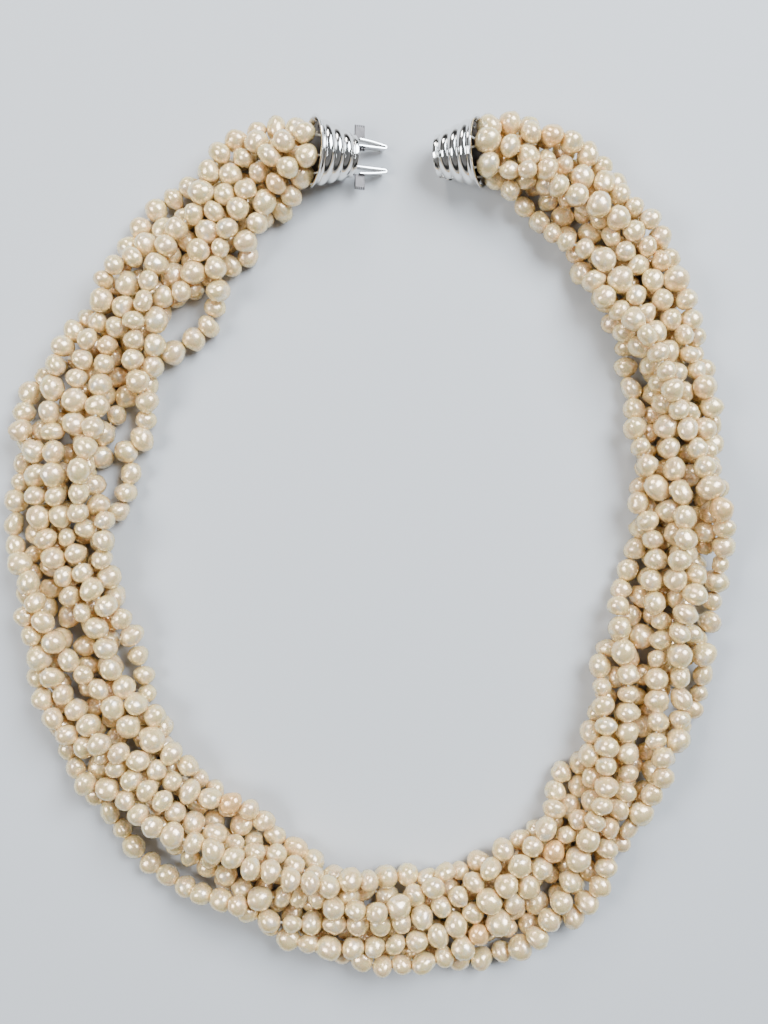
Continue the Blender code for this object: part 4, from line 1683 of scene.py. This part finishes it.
@dataclass
class Clasp:
    """Both halves of the clasp with all that they hold."""

    rope: Rope
    polished: bpy.types.Material
    satin: bpy.types.Material
    silk: bpy.types.Material
    tongue_sizes: TongueSizes = field(default_factory=TongueSizes)
    knot_depth: float = 0.45 * MM  # how far behind its hole a knot sits

    def __post_init__(self) -> None:
        """Finds both mouths from the caps' boxes: a tilted lip is a cap's lowest and hindmost part."""
        sizes = CapSizes()
        tilt = sizes.tilt()
        self.halves = {}
        for side in Side:
            low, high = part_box("tongue_half_cap" if side is Side.LEFT else "box_half_cap")
            hindmost = low[0] if side is Side.LEFT else high[0]
            mouth = Vector((
                hindmost + side.value * (sizes.mouth_radius - sizes.lip / 4) * math.sin(tilt),
                (low[1] + high[1]) / 2,
                sizes.mouth_radius * math.cos(tilt) + sizes.lip / 2 * math.sin(tilt),
            ))
            LOG.info("%s mouth at %s", side.word, mouth)
            self.halves[side] = ClaspHalf(side, mouth, self.polished, self.satin, sizes)

    def angles(self, side: Side) -> list[float]:
        """Each strand's angle round a mouth."""
        turned_by = self.rope.first_turn + (0.0 if side is Side.LEFT else self.rope.turns)
        count = self.rope.strands
        return [2 * math.pi * (strand / count + turned_by) for strand in range(count)]

    def holes(self, side: Side) -> list[Vector]:
        """Where each strand's thread passes its plate."""
        return self.halves[side].holes(self.angles(side))

    def latch_cutters(self) -> tuple[list[bpy.types.Mesh], list[bpy.types.Mesh]]:
        """The slots for the springs, and the notches for the tabs, on the box half."""
        t, s = self.tongue_sizes, CapSizes()
        run = s.length + t.length - t.thickness / 2 - (s.length + t.tail)
        inner = t.offset - t.pip - 2 * s.gap
        outer = t.offset + 2 * t.thickness + t.spread - run * math.sin(t.press_angle) + s.gap / 2
        depth = t.tail - t.tab_setback + t.tab_width + s.gap
        reach = s.mouth_radius - t.offset
        slots, notches = [], []
        for side in (1, -1):
            size = Vector((4 * s.plate, outer - inner, t.width + 2 * s.gap))
            slots.append(bevelled_box(size, 0.1 * MM, (s.length, side * (inner + outer) / 2, 0)))
            size = Vector((2 * depth, reach, t.tab_thickness + 1.6 * s.gap))
            at = (s.length, side * (t.offset + t.thickness + reach / 2), 0)
            notches.append(bevelled_box(size, 0.1 * MM, at))
        return slots, notches

    def build(self) -> None:
        """Makes both halves, the tongue and the knots."""
        left, right = self.halves[Side.LEFT], self.halves[Side.RIGHT]
        left.build_cap([])
        left.build_face([])
        slots, notches = self.latch_cutters()
        right.build_cap(notches)
        right.build_face(slots + notches)
        for side in Side:
            self.halves[side].build_thread_plate(self.angles(side))
            self.knots(side)
        Tongue(left, self.tongue_sizes).build()
        LOG.info("clasp: both halves, two springs, two tabs")

    def knots(self, side: Side) -> None:
        """The knots behind one thread plate, as one mesh."""
        half = self.halves[side]
        inward = (half.stand().to_3x3() @ Vector((1, 0, 0))) * self.knot_depth
        mesh = bpy.data.meshes.new("knot_points")
        mesh.from_pydata([tuple(hole + inward) for hole in self.holes(side)], [], [])
        knots = grown(f"{side.word}_thread_knots", mesh, KnotTree().build(), self.silk)
        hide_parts(*[f"{side.word}_thread_end_{k + 1}" for k in range(self.rope.strands)])
        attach(knots, half.body)


def main() -> None:
    """Builds the view, the strands and the clasp."""
    logging.basicConfig(level=logging.INFO)
    Camera().place()
    rope = Rope()
    nacre, polished, satin, silk = (finish.make() for finish in (NACRE, POLISHED, SATIN, SILK))
    clasp = Clasp(rope, polished, satin, silk)
    Strands(rope, nacre, silk).build(clasp.holes(Side.LEFT), clasp.holes(Side.RIGHT))
    clasp.build()
    Studio().build()


if __name__ == "__main__":
    main()
